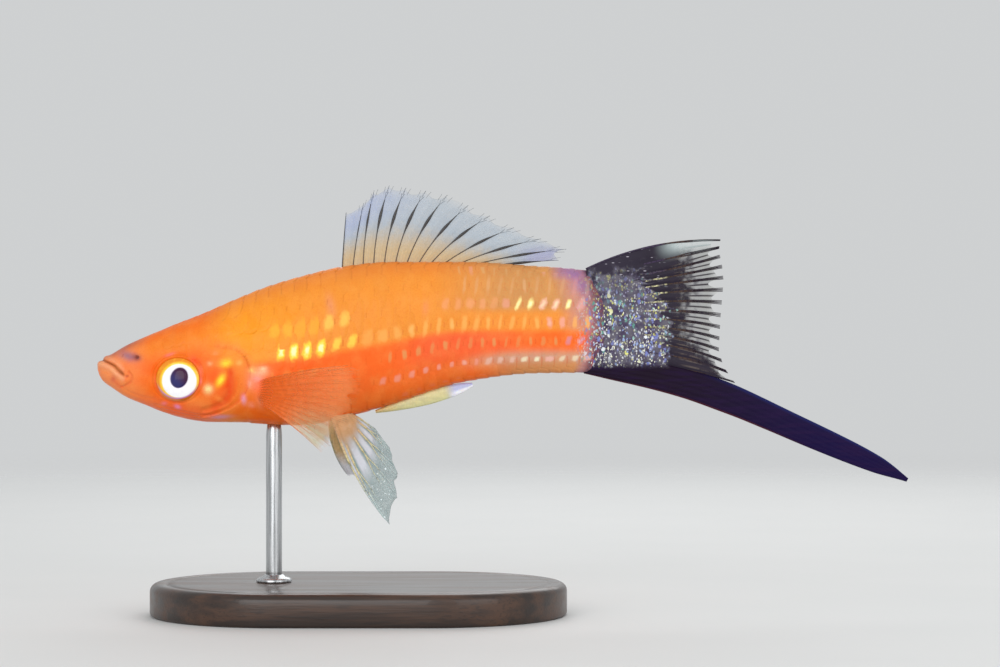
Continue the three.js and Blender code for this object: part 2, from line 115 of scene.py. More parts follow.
def rounded(line, steps=6):
    """A smooth curve through a few points."""
    p = np.array(line, float)
    p = np.vstack([2 * p[0] - p[1], p, 2 * p[-1] - p[-2]])
    out = []
    for i in range(1, len(p) - 2):
        for t in np.arange(steps) / steps:
            a = 2 * p[i] + (p[i + 1] - p[i - 1]) * t
            b = (2 * p[i - 1] - 5 * p[i] + 4 * p[i + 1] - p[i + 2]) * t**2
            c = (3 * p[i] - p[i - 1] - 3 * p[i + 1] + p[i + 2]) * t**3
            out.append((a + b + c) / 2)
    return np.array(out + [p[-2]])


def oval(x, z, centre, radii, lean=0.0):
    """Distance from a leaning oval's centre, 1 on its edge. lean turns it anticlockwise, in degrees."""
    c, s = math.cos(math.radians(lean)), math.sin(math.radians(lean))
    dx, dz = x - centre[0], z - centre[1]
    return np.hypot((dx * c + dz * s) / radii[0], (dz * c - dx * s) / radii[1])


# The body's form

STATIONS = [  # x, back, belly, half the width, and the widest line as a share of the depth
    (-50.6, 31.0, 30.2, 0.7, 0.5),
    (-49.9, 31.9, 29.1, 1.75, 0.5),
    (-48.7, 32.6, 28.2, 2.45, 0.5),
    (-47.0, 33.6, 27.1, 2.95, 0.5),
    (-44.6, 34.7, 26.1, 3.45, 0.47),
    (-40.7, 36.3, 24.6, 4.2, 0.42),
    (-37.6, 37.5, 24.0, 4.6, 0.42),
    (-33.5, 39.3, 23.8, 4.95, 0.43),
    (-29.5, 40.9, 23.7, 5.15, 0.45),
    (-25.2, 42.2, 23.6, 5.15, 0.47),
    (-20.1, 43.4, 24.5, 4.9, 0.5),
    (-14.0, 44.0, 26.2, 4.3, 0.52),
    (-5.0, 44.0, 29.0, 3.3, 0.53),
    (4.0, 43.5, 30.1, 2.45, 0.53),
    (10.6, 42.9, 30.2, 1.65, 0.52),
    (12.6, 40.6, 32.2, 0.8, 0.52),
]
STATION_X, *OUTLINES = zip(*STATIONS)
back, belly, half, widest = [track(STATION_X, outline) for outline in OUTLINES]
SNOUT, STEM_END = STATION_X[0], STATION_X[-1]
EYE = (-40.15, 29.5)
EYE_RADII = (2.68, 2.5)
GILL_REAR = -30.2
HEAD_ROUND = (2.5, 2.1)  # how round the section is above and below: 2 is an oval
TRUNK_ROUND = (1.9, 2.15)


def body_point(x, angle):
    """The body's surface; angle 0 is the left side, a quarter turn the back, minus one the belly."""
    x, angle = np.broadcast_arrays(np.asarray(x, float), np.asarray(angle, float))
    top, low = back(x), belly(x)
    middle = mix(low, top, widest(x))
    trunk = smooth(x, EYE[0], GILL_REAR)
    up, across = np.sin(angle), np.cos(angle)
    upper, lower = [mix(head, rear, trunk) for head, rear in zip(HEAD_ROUND, TRUNK_ROUND)]
    power = 2 / np.where(up >= 0, upper, lower)
    reach = np.where(up >= 0, top - middle, middle - low)
    y = -half(x) * np.sign(across) * np.abs(across) ** power
    return np.stack([x, y, middle + reach * np.sign(up) * np.abs(up) ** power], -1)


def body_normal(x, angle, step=0.02):
    ahead = body_point(x + step, angle) - body_point(x - step, angle)
    round_it = body_point(x, angle + step) - body_point(x, angle - step)
    out = np.cross(ahead, round_it)
    return out / np.maximum(np.linalg.norm(out, axis=-1, keepdims=True), 1e-9)


# The row of scales along the middle of the flank, by x and height
LATERAL = track(
    [-44, -36, -31, -27.4, -24.2, -20.4, -18.5, -11.7, -8.9, -4.7, 1.0, 6.0, 12.6],
    [31.2, 31.9, 32.35, 32.75, 32.95, 33.75, 34.15, 35.35, 35.95, 36.3, 36.4, 36.42, 36.45],
)


# Relief of the head, its lines in the side view

GROOVE = rounded([(-50.35, 31.78), (-49.7, 31.72), (-48.3, 31.1), (-47.6, 30.45), (-47.0, 29.95)])
CORNER_FOLD = rounded([(-46.35, 30.3), (-45.95, 29.75), (-46.1, 29.1), (-46.6, 28.7), (-47.3, 28.4)])
JAW_EDGE = rounded([(-47.3, 28.4), (-46.2, 27.7), (-44.8, 27.2), (-43.2, 26.9)])
CHEEK_FOLD = rounded(
    [(-34.1, 31.3), (-33.75, 30.3), (-33.6, 28.6), (-34.1, 27.2), (-35.3, 26.1), (-37.2, 25.5)]
)
COVER_EDGE = rounded(
    [(-35.2, 33.6), (-33.2, 33.3), (-31.9, 32.4), (-31.2, 30.8), (-31.15, 29.1)]
    + [(-31.8, 27.5), (-33.2, 26.1), (-35.2, 25.1), (-37.4, 24.6)]
)
UNDER_EDGE = rounded([(-32.6, 28.9), (-32.9, 27.6), (-34.0, 26.3), (-35.6, 25.6), (-37.4, 25.1)])
THROAT_FOLDS = [
    rounded([(-43.2, 26.2), (-40.5, 25.5), (-38.2, 25.0), (-36.2, 24.8)]),
    rounded([(-42.4, 25.6), (-40.0, 25.0), (-37.8, 24.6)]),
]
NOSTRILS = [((-45.3, 32.15), 0.2, 0.32), ((-47.15, 32.35), 0.11, 0.14)]  # place, radius, depth
SWELLINGS = [  # height, centre, radii, lean
    (0.12, (-49.1, 30.1), (0.8, 0.8), 0),  # the lower lip
    (0.16, (-46.75, 29.35), (0.5, 0.6), 0),  # under the mouth's corner
    (-0.2, (-46.55, 29.75), (0.2, 0.16), 0),  # the corner's dimple
    (0.3, (-30.3, 27.4), (0.9, 1.7), 15),  # the pectoral fin's root
]


def fold(x, z, line, depth, width, shoulder=0.0):
    """A groove along a line, with a low swelling on the line's upper or left side."""
    away, side = from_line(x, z, line)
    swell = shoulder * bell(away - 2.2 * width, 1.6 * width) * (side > 0)
    return swell - depth * bell(away, width)


def relief(x, y, z):
    """How far the skin stands out from the plain form, the eye's socket left out."""
    # The mouth, with a lip on each side of it
    away, side = from_line(x, z, GROOVE)
    depth = mix(0.12, 0.26, smooth(x, -49.9, -49.1))
    width = mix(0.14, 0.2, smooth(x, -49.5, -47.5))
    out = -depth * bell(away, width) * smooth(x, -46.7, -47.3)
    out += 0.13 * bell(away - 0.42, 0.28) * (side > 0) * smooth(x, -46.9, -48.2)
    out += 0.26 * bell(away - 0.5, 0.38) * (side < 0) * smooth(x, -46.9, -47.9)
    for height, centre, radii, lean in SWELLINGS:
        out += height * bell(oval(x, z, centre, radii, lean), 1)
    for centre, radius, depth in NOSTRILS:
        away = oval(x, z, centre, (radius, radius * 0.8), -20)
        out += 0.09 * bell(away - 1.75, 0.6) - depth * bell(away, 0.85)
    # The rim round the eye, stronger above it
    away = oval(x, z, EYE, EYE_RADII)
    over = smooth(z, EYE[1] - 0.5, EYE[1] + 1.6)
    out += (0.08 + 0.1 * over) * bell(away - 1.1, 0.075)
    out -= (0.07 + 0.06 * over) * bell(away - 1.24, 0.045)
    # Folds of the lips, the cheek and the throat
    out += fold(x, z, CORNER_FOLD, 0.14, 0.13)
    out += fold(x, z, JAW_EDGE, 0.06, 0.16)
    out += fold(x, z, CHEEK_FOLD, 0.09, 0.3, 0.03)
    for line in THROAT_FOLDS:
        out += fold(x, z, line, 0.07, 0.13, 0.03)
    # The gill cover's edge, and the step under it
    away, side = from_line(x, z, UNDER_EDGE)
    out += np.where(side < 0, -0.09, 0.04) * bell(away, 0.5) * smooth(x, -38, -36.5)
    away, side = from_line(x, z, COVER_EDGE)
    fade = smooth(x, -38.4, -36.4) * smooth(z, 33.6, 32.2)
    out += fade * np.where(side < 0, -0.06 * bell(away, 0.7), 0.11 * bell(away, 1.0))
    # The slit between the gill covers under the throat
    keel = bell(y, 0.3) * smooth(z, mix(belly(x), back(x), 0.4), belly(x))
    out -= 0.14 * keel * smooth(x, -45.5, -44) * smooth(x, -34, -36)
    return out


def coat_share(x):
    """How thick the coat is: nothing on the snout, thin on the crown, full behind the head."""
    return 0.35 * smooth(x, -43.4, -41.5) + 0.65 * smooth(x, -40, -31)


COAT = 0.2  # the scales' depth over the skin
INSET = 0.02  # how far everything stays inside the solids


# Colours


def srgb(*values):
    c = np.array(values, float) / 255
    return np.where(c <= 0.04045, c / 12.92, ((c + 0.055) / 1.055) ** 2.4)


# Marks of the fish's own colour, and among them painted glints, a painted highlight and painted reflections
SPOTS_AND_GLINTS = [  # centre, radii, lean, colour, strength
    # the next seven are painted glints: bright reflections on the cheek and throat
    ((-34.15, 31.4), (0.85, 0.6), 10, (255, 222, 60), 1.0),
    ((-34.8, 29.3), (0.5, 0.98), -32, (255, 236, 60), 1.0),
    ((-36.35, 28.2), (0.66, 0.66), 0, (255, 234, 160), 0.95),
    ((-32.5, 31.45), (0.4, 0.35), 0, (255, 190, 100), 0.7),
    ((-32.0, 26.95), (0.36, 0.66), 5, (240, 165, 195), 0.85),
    ((-40.3, 26.0), (0.45, 0.3), -20, (226, 140, 190), 0.85),
    ((-42.0, 26.4), (0.42, 0.26), 10, (240, 125, 135), 0.8),
    # painted highlight on the upper lid
    ((-41.2, 32.45), (0.75, 0.22), 18, (255, 130, 125), 0.8),
    ((-38.1, 31.6), (0.7, 0.8), 40, (255, 84, 48), 0.75),
    ((-37.3, 30.4), (0.35, 0.8), 0, (250, 110, 110), 0.45),
    ((-46.5, 32.28), (1.4, 0.72), -14, (150, 104, 132), 1.0),
    ((-45.35, 32.1), (0.62, 0.42), -14, (110, 58, 70), 0.9),
    ((-48.35, 29.4), (0.42, 0.4), 0, (202, 78, 72), 0.75),
    ((-47.85, 28.8), (0.3, 0.75), 48, (222, 84, 58), 0.65),
    # painted shade in the mouth corner's dimple
    ((-46.6, 29.75), (0.26, 0.18), 0, (196, 92, 66), 0.8),
    ((-30.1, 30.1), (1.35, 0.8), 8, (255, 176, 136), 1.0),
    ((-30.6, 28.8), (1.2, 1.0), 0, (255, 132, 104), 0.75),
    ((-30.9, 30.55), (0.5, 0.34), -10, (255, 208, 120), 0.9),
    ((-29.5, 30.6), (0.55, 0.4), 10, (255, 216, 168), 0.9),
    ((-30.3, 29.5), (0.7, 0.34), 4, (255, 160, 150), 0.8),
    ((-31.2, 28.9), (0.3, 0.55), 0, (255, 190, 170), 0.6),
    ((-30.0, 26.6), (0.5, 1.0), 10, (255, 150, 112), 0.5),
    ((-35.0, 24.7), (1.4, 0.3), 4, (216, 160, 190), 0.8),
    ((-36.15, 31.35), (0.4, 0.3), 0, (255, 176, 120), 0.8),
    ((-35.5, 32.7), (0.4, 0.3), 20, (255, 156, 96), 0.6),
    ((-37.3, 29.2), (0.22, 0.5), 0, (250, 140, 140), 0.7),
    ((-35.1, 27.0), (0.7, 0.4), -30, (255, 146, 64), 0.7),
    ((-31.1, 26.2), (0.5, 0.4), 0, (255, 160, 136), 0.6),
    # the next two are painted reflections: pale streaks of light on the upper flank
    ((-21.3, 38.6), (0.6, 1.6), 12, (238, 156, 122), 0.5),
    ((-9.6, 38.2), (0.4, 1.0), -6, (250, 148, 112), 0.45),
]


def colours_and_painted_light(point):
    """The fish's colours in linear light, with painted glints, a painted highlight and painted reflections,
    and painted shade in the mouth's groove, folds and dimple; the same for skin and scales.
    """
    x, _, z = np.moveaxis(point, -1, 0)
    high = (z - belly(x)) / (back(x) - belly(x))
    over = z - LATERAL(x)
    under = smooth(over, -0.5, -1.5)
    front = smooth(x, -33.5, -38)
    mouth = smooth(x, -46.6, -47.2)
    by_cover = smooth(x, -37.5, -35.5)
    stem = smooth(x, -10, 2)
    low_stem = smooth(x, -4, 3)
    stem_end = 11.3 - 1.3 * ((z - 36.6) / 6) ** 2
    from_groove, groove_side = from_line(x, z, GROOVE)
    from_cover, cover_side = from_line(x, z, COVER_EDGE)
    from_cheek, _ = from_line(x, z, CHEEK_FOLD)
    from_corner, _ = from_line(x, z, CORNER_FOLD)
    from_eye = oval(x, z, EYE, EYE_RADII)

    def patch(centre, radii, lean=0, soft=1):
        return bell(oval(x, z, centre, radii, lean), soft)

    trunk = [
        ((236, 128, 54), 0.6 * smooth(high, 0.84, 1.0)),
        ((255, 156, 18), 0.85 * patch((-31.0, 35.2), (6.5, 3.6), 22)),
        ((255, 108, 36), under * smooth(x, -34, -29)),
        ((250, 96, 62), 0.6 * under * smooth(x, -15, -8) * smooth(x, 6, -4)),
        ((248, 114, 40), 0.85 * smooth(high, 0.3, 0.1) * smooth(x, -33, -28)),
        ((244, 102, 20), 0.85 * patch((-30.5, 25.2), (4.2, 1.6), -3)),
    ]
    head = [
        ((247, 104, 14), front * smooth(high, 0.98, 0.5)),
        ((248, 110, 26), front * smooth(high, 0.7, 0.95) * 0.8),
        ((249, 78, 8), 0.9 * patch((-34.8, 28.8), (2.3, 3.2))),
        # deeper red along the cheek fold: the cheek's own colour with painted shade in the fold
        ((236, 66, 14), 0.9 * bell(from_cheek, 0.62) * smooth(z, 31.8, 30.4) * smooth(x, -37, -35.5)),
        ((255, 140, 60), 0.7 * patch((-37.8, 26.6), (2.2, 1.0), -18)),
        ((240, 104, 62), 0.7 * front * smooth(high, 0.25, 0.05)),
        ((248, 130, 66), smooth(x, -43.2, -46.2)),
        ((243, 142, 88), 0.75 * smooth(x, -46.6, -48.6)),
        ((184, 92, 70), 0.85 * smooth(x, -43.5, -46.5) * smooth(high, 0.8, 0.98)),
        # pale lips beside the groove, more on the lower lip: the lips' colour with a painted highlight
        ((245, 168, 124), mouth * bell(from_groove - 0.45, 0.4) * np.where(groove_side < 0, 0.9, 0.5)),
        # painted shade: brown in the mouth's groove
        ((150, 78, 34), mouth * 0.9 * bell(from_groove, mix(0.13, 0.2, smooth(x, -49, -47.4)))),
        # painted shade along the fold at the mouth's corner
        ((226, 104, 60), 0.5 * bell(from_corner, 0.2)),
        ((255, 132, 60), 0.5 * by_cover * bell(from_cover, 0.5) * (cover_side > 0)),
        ((230, 86, 32), 0.5 * by_cover * bell(from_cover, 0.4) * (cover_side < 0)),
    ]
    rear = [
        ((204, 148, 90), 0.9 * stem * smooth(over, 0.9, 2.2)),
        ((250, 148, 60), 0.5 * stem * bell(over, 0.9)),
        ((206, 146, 94), 0.9 * low_stem * smooth(high, 0.16, 0.1)),
        ((208, 164, 138), 0.9 * smooth(x, -7, 1) * bell(high - 0.158, 0.055)),
        ((198, 140, 132), 0.85 * smooth(x, stem_end - 4.8, stem_end - 1.6) * smooth(z, 34.8, 36.4)),
        ((150, 116, 166), 0.9 * smooth(x, 5.2, 8.6) * smooth(z, 41.4, 42.5)),
        ((142, 108, 168), 0.9 * patch((10.2, 41.4), (1.4, 1.5))),
        ((150, 112, 140), 0.8 * smooth(x, stem_end - 1.3, stem_end - 0.1)),
        ((80, 60, 92), smooth(x, stem_end - 0.3, stem_end + 0.5)),
    ]
    # the fish's marks from the table, with the painted glints, highlight, reflections and shade among them
    spots_and_glints = [(paint, strength * patch(*spot, 0.85)) for *spot, paint, strength in SPOTS_AND_GLINTS]
    round_eye = [
        ((214, 74, 70), 0.6 * bell(from_eye - 1.04, 0.06) * smooth(z, 31, 28)),
        ((226, 130, 40), smooth(from_eye, 1.04, 0.98)),
    ]
    colour = srgb(243, 149, 54)
    for paint, weight in trunk + head + rear + spots_and_glints + round_eye:
        colour = mix(colour, srgb(*paint), np.clip(weight, 0, 1)[..., None])
    return colour


# Meshes


def ring_faces(rings, around):
    """Quads between rings of points, each ring closed."""
    i, k = np.meshgrid(np.arange(rings - 1), np.arange(around), indexing="ij")
    a = i * around + k
    b = i * around + (k + 1) % around
    return np.stack([a, b, b + around, a + around], -1).reshape(-1, 4)


def closed_tube(rings, around):
    """Faces of a tube of rings with a flat end on each side."""
    end = np.arange(around)[None]
    return [ring_faces(rings, around), end[:, ::-1], (rings - 1) * around + end]


def fan_faces(centre, ring, flip=False):
    """Triangles from a centre point to a ring of points."""
    edge = [ring, np.roll(ring, -1)]
    return np.stack([np.full(len(ring), centre), *(edge[::-1] if flip else edge)], -1)


def grid_faces(rows, columns):
    """Quads of an open sheet of points."""
    i, k = np.meshgrid(np.arange(rows - 1), np.arange(columns - 1), indexing="ij")
    a = i * columns + k
    return np.stack([a, a + 1, a + 1 + columns, a + columns], -1).reshape(-1, 4)


def rim_of(rows, columns):
    """The points round an open sheet's edge, in order."""
    grid = np.arange(rows * columns).reshape(rows, columns)
    return np.concatenate([grid[0, :-1], grid[:-1, -1], grid[-1, :0:-1], grid[:0:-1, 0]])


def plate_faces(rows, columns):
    """Quads of a thin plate: a sheet, the wall round it and the sheet on its other side."""
    sheet, edge = grid_faces(rows, columns), rim_of(rows, columns)
    after = np.roll(edge, -1)
    size = rows * columns
    wall = np.stack([edge, edge + size, after + size, after], -1)
    return [sheet[:, ::-1], wall, sheet + size]


def many(faces, points_each, count):
    """The same faces for each of many alike shapes."""
    shift = (np.arange(count) * points_each)[:, None, None]
    return (faces[None] + shift).reshape(-1, faces.shape[-1])


def flipped(faces):
    """Lists of faces turned inside out, for a mirrored shape."""
    return [part[:, ::-1] for part in faces]


def opaque(colour):
    return np.insert(colour, 3, 1.0, axis=-1)


FACT_KINDS = {1: ("FLOAT", "value"), 3: ("FLOAT_VECTOR", "vector"), 4: ("FLOAT_COLOR", "color")}


def make_map(mesh, place):
    """The map for the bake. A face that crosses the seam goes past the map's top edge, not back over it."""
    corners = np.empty(len(mesh.loops), np.int32)
    mesh.loops.foreach_get("vertex_index", corners)
    starts = np.empty(len(mesh.polygons), np.int32)
    mesh.polygons.foreach_get("loop_start", starts)
    flat = np.asarray(place, float)[corners]
    face = np.repeat(np.arange(len(starts)), np.diff(np.append(starts, len(corners))))
    highest = np.maximum.reduceat(flat[:, 1], starts)[face]
    flat[:, 1] += (highest - flat[:, 1]) > 0.5
    mesh.uv_layers.new(name="OFBake").data.foreach_set("uv", flat.ravel())


def make_piece(name, points, faces, material, nodes, facts=None, place=None, smooth_faces=None):
    """A mesh piece from points in millimetres and lists of faces.

    facts are values kept at its points, place is its map, and smooth_faces tells which faces are smooth.
    """
    mesh = bpy.data.meshes.new(name)
    mesh.from_pydata((points * MM).tolist(), [], [face for part in faces for face in part.tolist()])
    if smooth_faces is None:
        smooth_faces = np.ones(len(mesh.polygons), bool)
    mesh.polygons.foreach_set("use_smooth", smooth_faces)
    for key, values in (facts or {}).items():
        kind, field = FACT_KINDS[values.shape[1] if values.ndim > 1 else 1]
        data = mesh.attributes.new(key, kind, "POINT").data
        data.foreach_set(field, np.asarray(values, float).ravel())
    if place is not None:
        make_map(mesh, place)
    mesh.materials.append(material)
    mesh.update()
    piece = bpy.data.objects.new(name, mesh)
    bpy.context.scene.collection.objects.link(piece)
    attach(piece, "root")
    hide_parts(*nodes)


# Materials


def rgba(*values):
    return (*srgb(*values), 1.0)


class Value:
    """A number or colour that a material works out. Arithmetic with it adds the nodes for the result."""

    def __init__(self, paint, socket):
        self.paint = paint
        self.socket = socket

    def __add__(self, other):
        return self.paint.math("ADD", self, other)

    def __sub__(self, other):
        return self.paint.math("SUBTRACT", self, other)

    def __mul__(self, other):
        return self.paint.math("MULTIPLY", self, other)

    def __truediv__(self, other):
        return self.paint.math("DIVIDE", self, other)

    def __pow__(self, other):
        return self.paint.math("POWER", self, other)

    def __abs__(self):
        return self.paint.math("ABSOLUTE", self)

    def sine(self):
        return self.paint.math("SINE", self)

    def root(self):
        return self.paint.math("SQRT", self)

    def at_least(self, other):
        return self.paint.math("MAXIMUM", self, other)

    def span(self, low, high, to_low=0.0, to_high=1.0):
        """An easy rise from to_low to to_high while the value goes from low to high."""
        made = self.paint.node("ShaderNodeMapRange", interpolation_type="SMOOTHSTEP")
        return self.paint.fed(made, self, low, high, to_low, to_high)

    def parts(self, kind="ShaderNodeSeparateXYZ"):
        made = self.paint.node(kind)
        self.paint.put(made.inputs[0], self)
        return [Value(self.paint, output) for output in made.outputs]


class Paint:
    """A node material with short ways to add nodes."""

    def __init__(self, name):
        self.material = bpy.data.materials.new(name)
        self.material.use_nodes = True
        self.tree = self.material.node_tree
        self.shader = self.tree.nodes["Principled BSDF"]

    def node(self, kind, **settings):
        made = self.tree.nodes.new(kind)
        for key, value in settings.items():
            setattr(made, key, value)
        return made

    def put(self, socket, value):
        if isinstance(value, Value):
            self.tree.links.new(value.socket, socket)
        else:
            socket.default_value = value

    def fed(self, node, *values):
        """Fills a node's first inputs and gives its first output."""
        for socket, value in zip(node.inputs, values):
            self.put(socket, value)
        return Value(self, node.outputs[0])

    def set(self, **values):
        for key, value in values.items():
            self.put(self.shader.inputs[key.replace("_", " ")], value)

    def fact(self, name, output="Fac"):
        return Value(self, self.node("ShaderNodeAttribute", attribute_name=name).outputs[output])

    def math(self, operation, *values):
        return self.fed(self.node("ShaderNodeMath", operation=operation), *values)

    def blend(self, share, a, b):
        """From colour a to colour b. A colour is a value or three numbers up to 255."""
        made = self.node("ShaderNodeMix", data_type="RGBA")
        self.put(made.inputs["Factor"], share)
        for index, colour in ((6, a), (7, b)):
            self.put(made.inputs[index], colour if isinstance(colour, Value) else rgba(*colour))
        return Value(self, made.outputs[2])

    def coats(self, colour, *coats):
        """A colour with others laid over it in turn, each a share and a colour."""
        for share, over in coats:
            colour = self.blend(share, colour, over)
        return colour

    def place(self, stretch=(1, 1, 1)):
        """Where a point is, in millimetres, stretched by a factor each way."""
        made = self.node("ShaderNodeMapping", vector_type="POINT")
        made.inputs["Scale"].default_value = [s / MM for s in stretch]
        where = self.node("ShaderNodeTexCoord").outputs["Object"]
        return self.fed(made, Value(self, where))

    def texture(self, kind, size, stretch):
        """A texture node with features about so many millimetres across."""
        made = self.node(kind)
        self.put(made.inputs["Vector"], self.place(stretch))
        made.inputs["Scale"].default_value = 1 / size
        return made

    def noise(self, size, detail=3.0, stretch=(1, 1, 1)):
        made = self.texture("ShaderNodeTexNoise", size, stretch)
        made.inputs["Detail"].default_value = detail
        return Value(self, made.outputs["Fac"])

    def cells(self, size, stretch=(1, 1, 1)):
        """How far a point is from its cell's middle, and two numbers drawn for the cell."""
        made = self.texture("ShaderNodeTexVoronoi", size, stretch)
        first, second, *_ = Value(self, made.outputs["Color"]).parts("ShaderNodeSeparateColor")
        return Value(self, made.outputs["Distance"]), first, second

    def bump(self, height, depth, strength=1.0):
        made = self.node("ShaderNodeBump")
        made.inputs["Strength"].default_value = strength
        made.inputs["Distance"].default_value = depth * MM
        self.put(made.inputs["Height"], height)
        self.set(Normal=Value(self, made.outputs[0]))


SPECKLED_END = 20.6
SPECKS = [  # size, how far a speck reaches in its cell, two colours
    (0.55, 0.34, (120, 128, 190), (96, 150, 140)),
    (0.3, 0.3, (206, 208, 214), (206, 204, 110)),
    (0.42, 0.26, (150, 168, 214), (150, 196, 186)),
    (0.24, 0.26, (244, 244, 220), (190, 186, 226)),
    (0.75, 0.2, (236, 240, 246), (226, 226, 120)),
]


def speckles(paint, colour, edge=0.5, start=(8.0, 8.1), ground=0.85):
    """Bright specks of many colours over the root of the tail, on a grey ground."""
    x, _, z = paint.place().parts()
    torn = paint.noise(1.1, 3).span(0.3, 0.7, -0.9, 0.9)
    streaky = paint.noise(0.45, 2, (0.25, 1, 1)).span(0.3, 0.7, -1, 1) * z.span(35, 41, 0.3, 2.2)
    ahead = x + torn * 0.5 + (streaky + z.span(37.5, 42.5, 0, 3.0))
    above = z + (torn - x * 0.14)
    zone = ahead.span(SPECKLED_END + edge, SPECKLED_END - edge) * above.span(41.4, 39.4)
    zone = zone * z.span(30.6, 31.6) * x.span(*start)
    grey = paint.blend(paint.noise(1.1, 3).span(0.35, 0.7), (104, 100, 112), (62, 48, 84))
    colour = paint.blend(zone * ground, colour, grey)
    for size, limit, one_tint, other_tint in SPECKS:
        away, chance, other = paint.cells(size, (1, 1, 0.62))
        broken = away + paint.noise(size * 0.6, 2).span(0.3, 0.7, -0.16, 0.16)
        spot = broken.span(limit + 0.1, limit - 0.04) * chance.span(0.42, 0.5)
        pick = (other + z.span(33.0, 39.0, -0.25, 0.2)).span(0.5, 0.7)
        patchy = paint.noise(1.4 + size, 2).span(0.38, 0.54) * z.span(41.0, 38.4, 0.35, 1.0)
        colour = paint.blend(spot * patchy * zone, colour, paint.blend(pick, one_tint, other_tint))
    return colour


def living_colour(paint):
    """The fish's colours and painted light, with the fine grain of pigment cells, which skin and scales
    share.
    """
    return paint.coats(
        paint.fact("ColoursAndPaintedLight", "Color"),
        (paint.noise(1.6, 3).span(0.35, 0.75, 0, 0.16), (255, 178, 92)),
        (paint.noise(0.16, 2).span(0.42, 0.72, 0, 0.2), (226, 86, 30)),
    )


def wet(paint, colour, roughness):
    """Wet flesh, with the first specks of the tail at its rear end."""
    paint.set(Base_Color=speckles(paint, colour, 0.5, (8.6, 11.6), 0.0), Roughness=roughness)
    paint.set(IOR=1.4, Coat_Weight=0.07, Coat_Roughness=0.2, Specular_IOR_Level=0.15)


def skin_paint():
    paint = Paint("fish_skin")
    wet(paint, living_colour(paint), paint.noise(0.9).span(0.3, 0.7, 0.34, 0.48))
    paint.set(Subsurface_Weight=0.08, Subsurface_Radius=(1.0, 0.35, 0.12), Subsurface_Scale=0.6 * MM)
    paint.bump(paint.noise(0.22, 3), 0.02, 0.6)
    return paint.material


def scale_paint():
    """Scales carry the fish's colours and painted light, fine growth rings, and on some rows a painted
    glint, with a painted highlight at its core and painted shade at each scale's rear margin.
    """
    paint = Paint("fish_scales")
    along, across, chance = paint.fact("Local", "Vector").parts()
    half_long, half_tall, lean = paint.fact("Shape", "Vector").parts()
    glint, power = paint.fact("Glint", "Color"), paint.fact("Glint", "Alpha")
    ragged = paint.noise(0.55, 2).span(0.3, 0.7, -0.17, 0.17)
    long_way = abs((along + 0.48 - across * lean) / half_long) ** 3.0
    tall_way = abs(across / half_tall) ** 3.0
    away = (long_way + tall_way) ** 0.333 + ragged
    colour = paint.coats(
        living_colour(paint),
        # painted shade at each scale's rear margin, stronger beside a strong glint
        (along.span(-0.22, -0.02) * power.span(0, 0.8, 0.05, 0.4), (226, 84, 22)),
        # the painted glint
        (away.span(1.45, 0.5) * power, glint),
        # a painted highlight at the glint's core
        (away.span(0.8, 0.2) * power.span(0.8, 1.0, 0, 0.8), (255, 255, 205)),
    )
    wet(paint, colour, chance.span(0, 1, 0.34, 0.46))
    from_root = ((along + 0.9) ** 2.0 + across**2.0).root()
    growth_rings = (from_root * 62.0).sine()
    paint.bump(growth_rings * 0.35 + paint.noise(0.3, 2), 0.012, 0.5)
    return paint.material


# Skin

RING_STEPS = [  # from, to and how far apart: close together on the head
    (SNOUT, -36, 0.08),
    (-36, -29.6, 0.13),
    (-29.6, STEM_END, 0.62),
]
AROUND = 300
SOCKET = 1.9  # how deep the skin goes behind the eye
ROUNDING_REACH, ROUNDING_RADIUS = 0.34, 0.36  # of the snout's tip


def with_ends(rings):
    """The rings' values in one list, and after them the means of the first and the last ring."""
    return np.vstack([rings.reshape(-1, 3), rings[0].mean(0), rings[-1].mean(0)])


def make_skin(material):
    xs = np.concatenate([*(np.arange(*steps) for steps in RING_STEPS), [STEM_END]])
    x, angle = np.meshgrid(xs, circle(AROUND), indexing="ij")
    points = body_point(x, angle)
    lift = relief(*np.moveaxis(points, -1, 0)) - mix(INSET, COAT, coat_share(x))
    lift -= SOCKET * smooth(oval(x, points[..., 2], EYE, EYE_RADII), 1.02, 0.9)
    points = points + body_normal(x, angle) * lift[..., None]
    into_tip = np.clip((SNOUT + ROUNDING_REACH - x) / ROUNDING_RADIUS, 0, 1)
    heart = np.stack([x, np.zeros_like(x), (back(x) + belly(x)) / 2], -1)
    points = mix(heart, points, np.sqrt(1 - into_tip**2)[..., None])
    facts = {"ColoursAndPaintedLight": opaque(with_ends(colours_and_painted_light(points)))}
    first, last = points[..., 0].size, points[..., 0].size + 1
    ring = np.arange(AROUND)
    caps = [fan_faces(first, ring, True), fan_faces(last, first - AROUND + ring)]
    share = (x - SNOUT) / (STEM_END - SNOUT)
    place = np.stack([share * 0.98 + 0.01, angle / TURN], -1).reshape(-1, 2)
    place = np.vstack([place, [0.005, 0.5], [0.995, 0.5]])
    faces = [ring_faces(len(xs), AROUND), *caps]
    make_piece("skin", with_ends(points), faces, material, FLESH, facts, place)


# Scales

PITCH = track(  # how far apart scales of a row are, by x
    [-43, -38, -31, -25, -21, -14, -7, -2, 4, 12.6],
    [1.0, 1.4, 1.6, 1.6, 1.92, 1.8, 1.6, 1.46, 1.56, 1.6],
)
ROWS_APART = track([-43, -38, -31, -20, -14, -4, 12.6], [1.5, 2.05, 2.6, 2.85, 2.85, 2.45, 2.2])
SCALE_ROWS = range(-6, 7)  # the lateral row is 0
BACK_RIDGE, BELLY_RIDGE = 90, -90
SCALES_FROM, SCALES_TO = -43, 12.2
TABLE_X = np.linspace(SNOUT, STEM_END, 420)
TABLE_REACH = 22.0
TABLE_S = np.linspace(-TABLE_REACH, TABLE_REACH, 881)


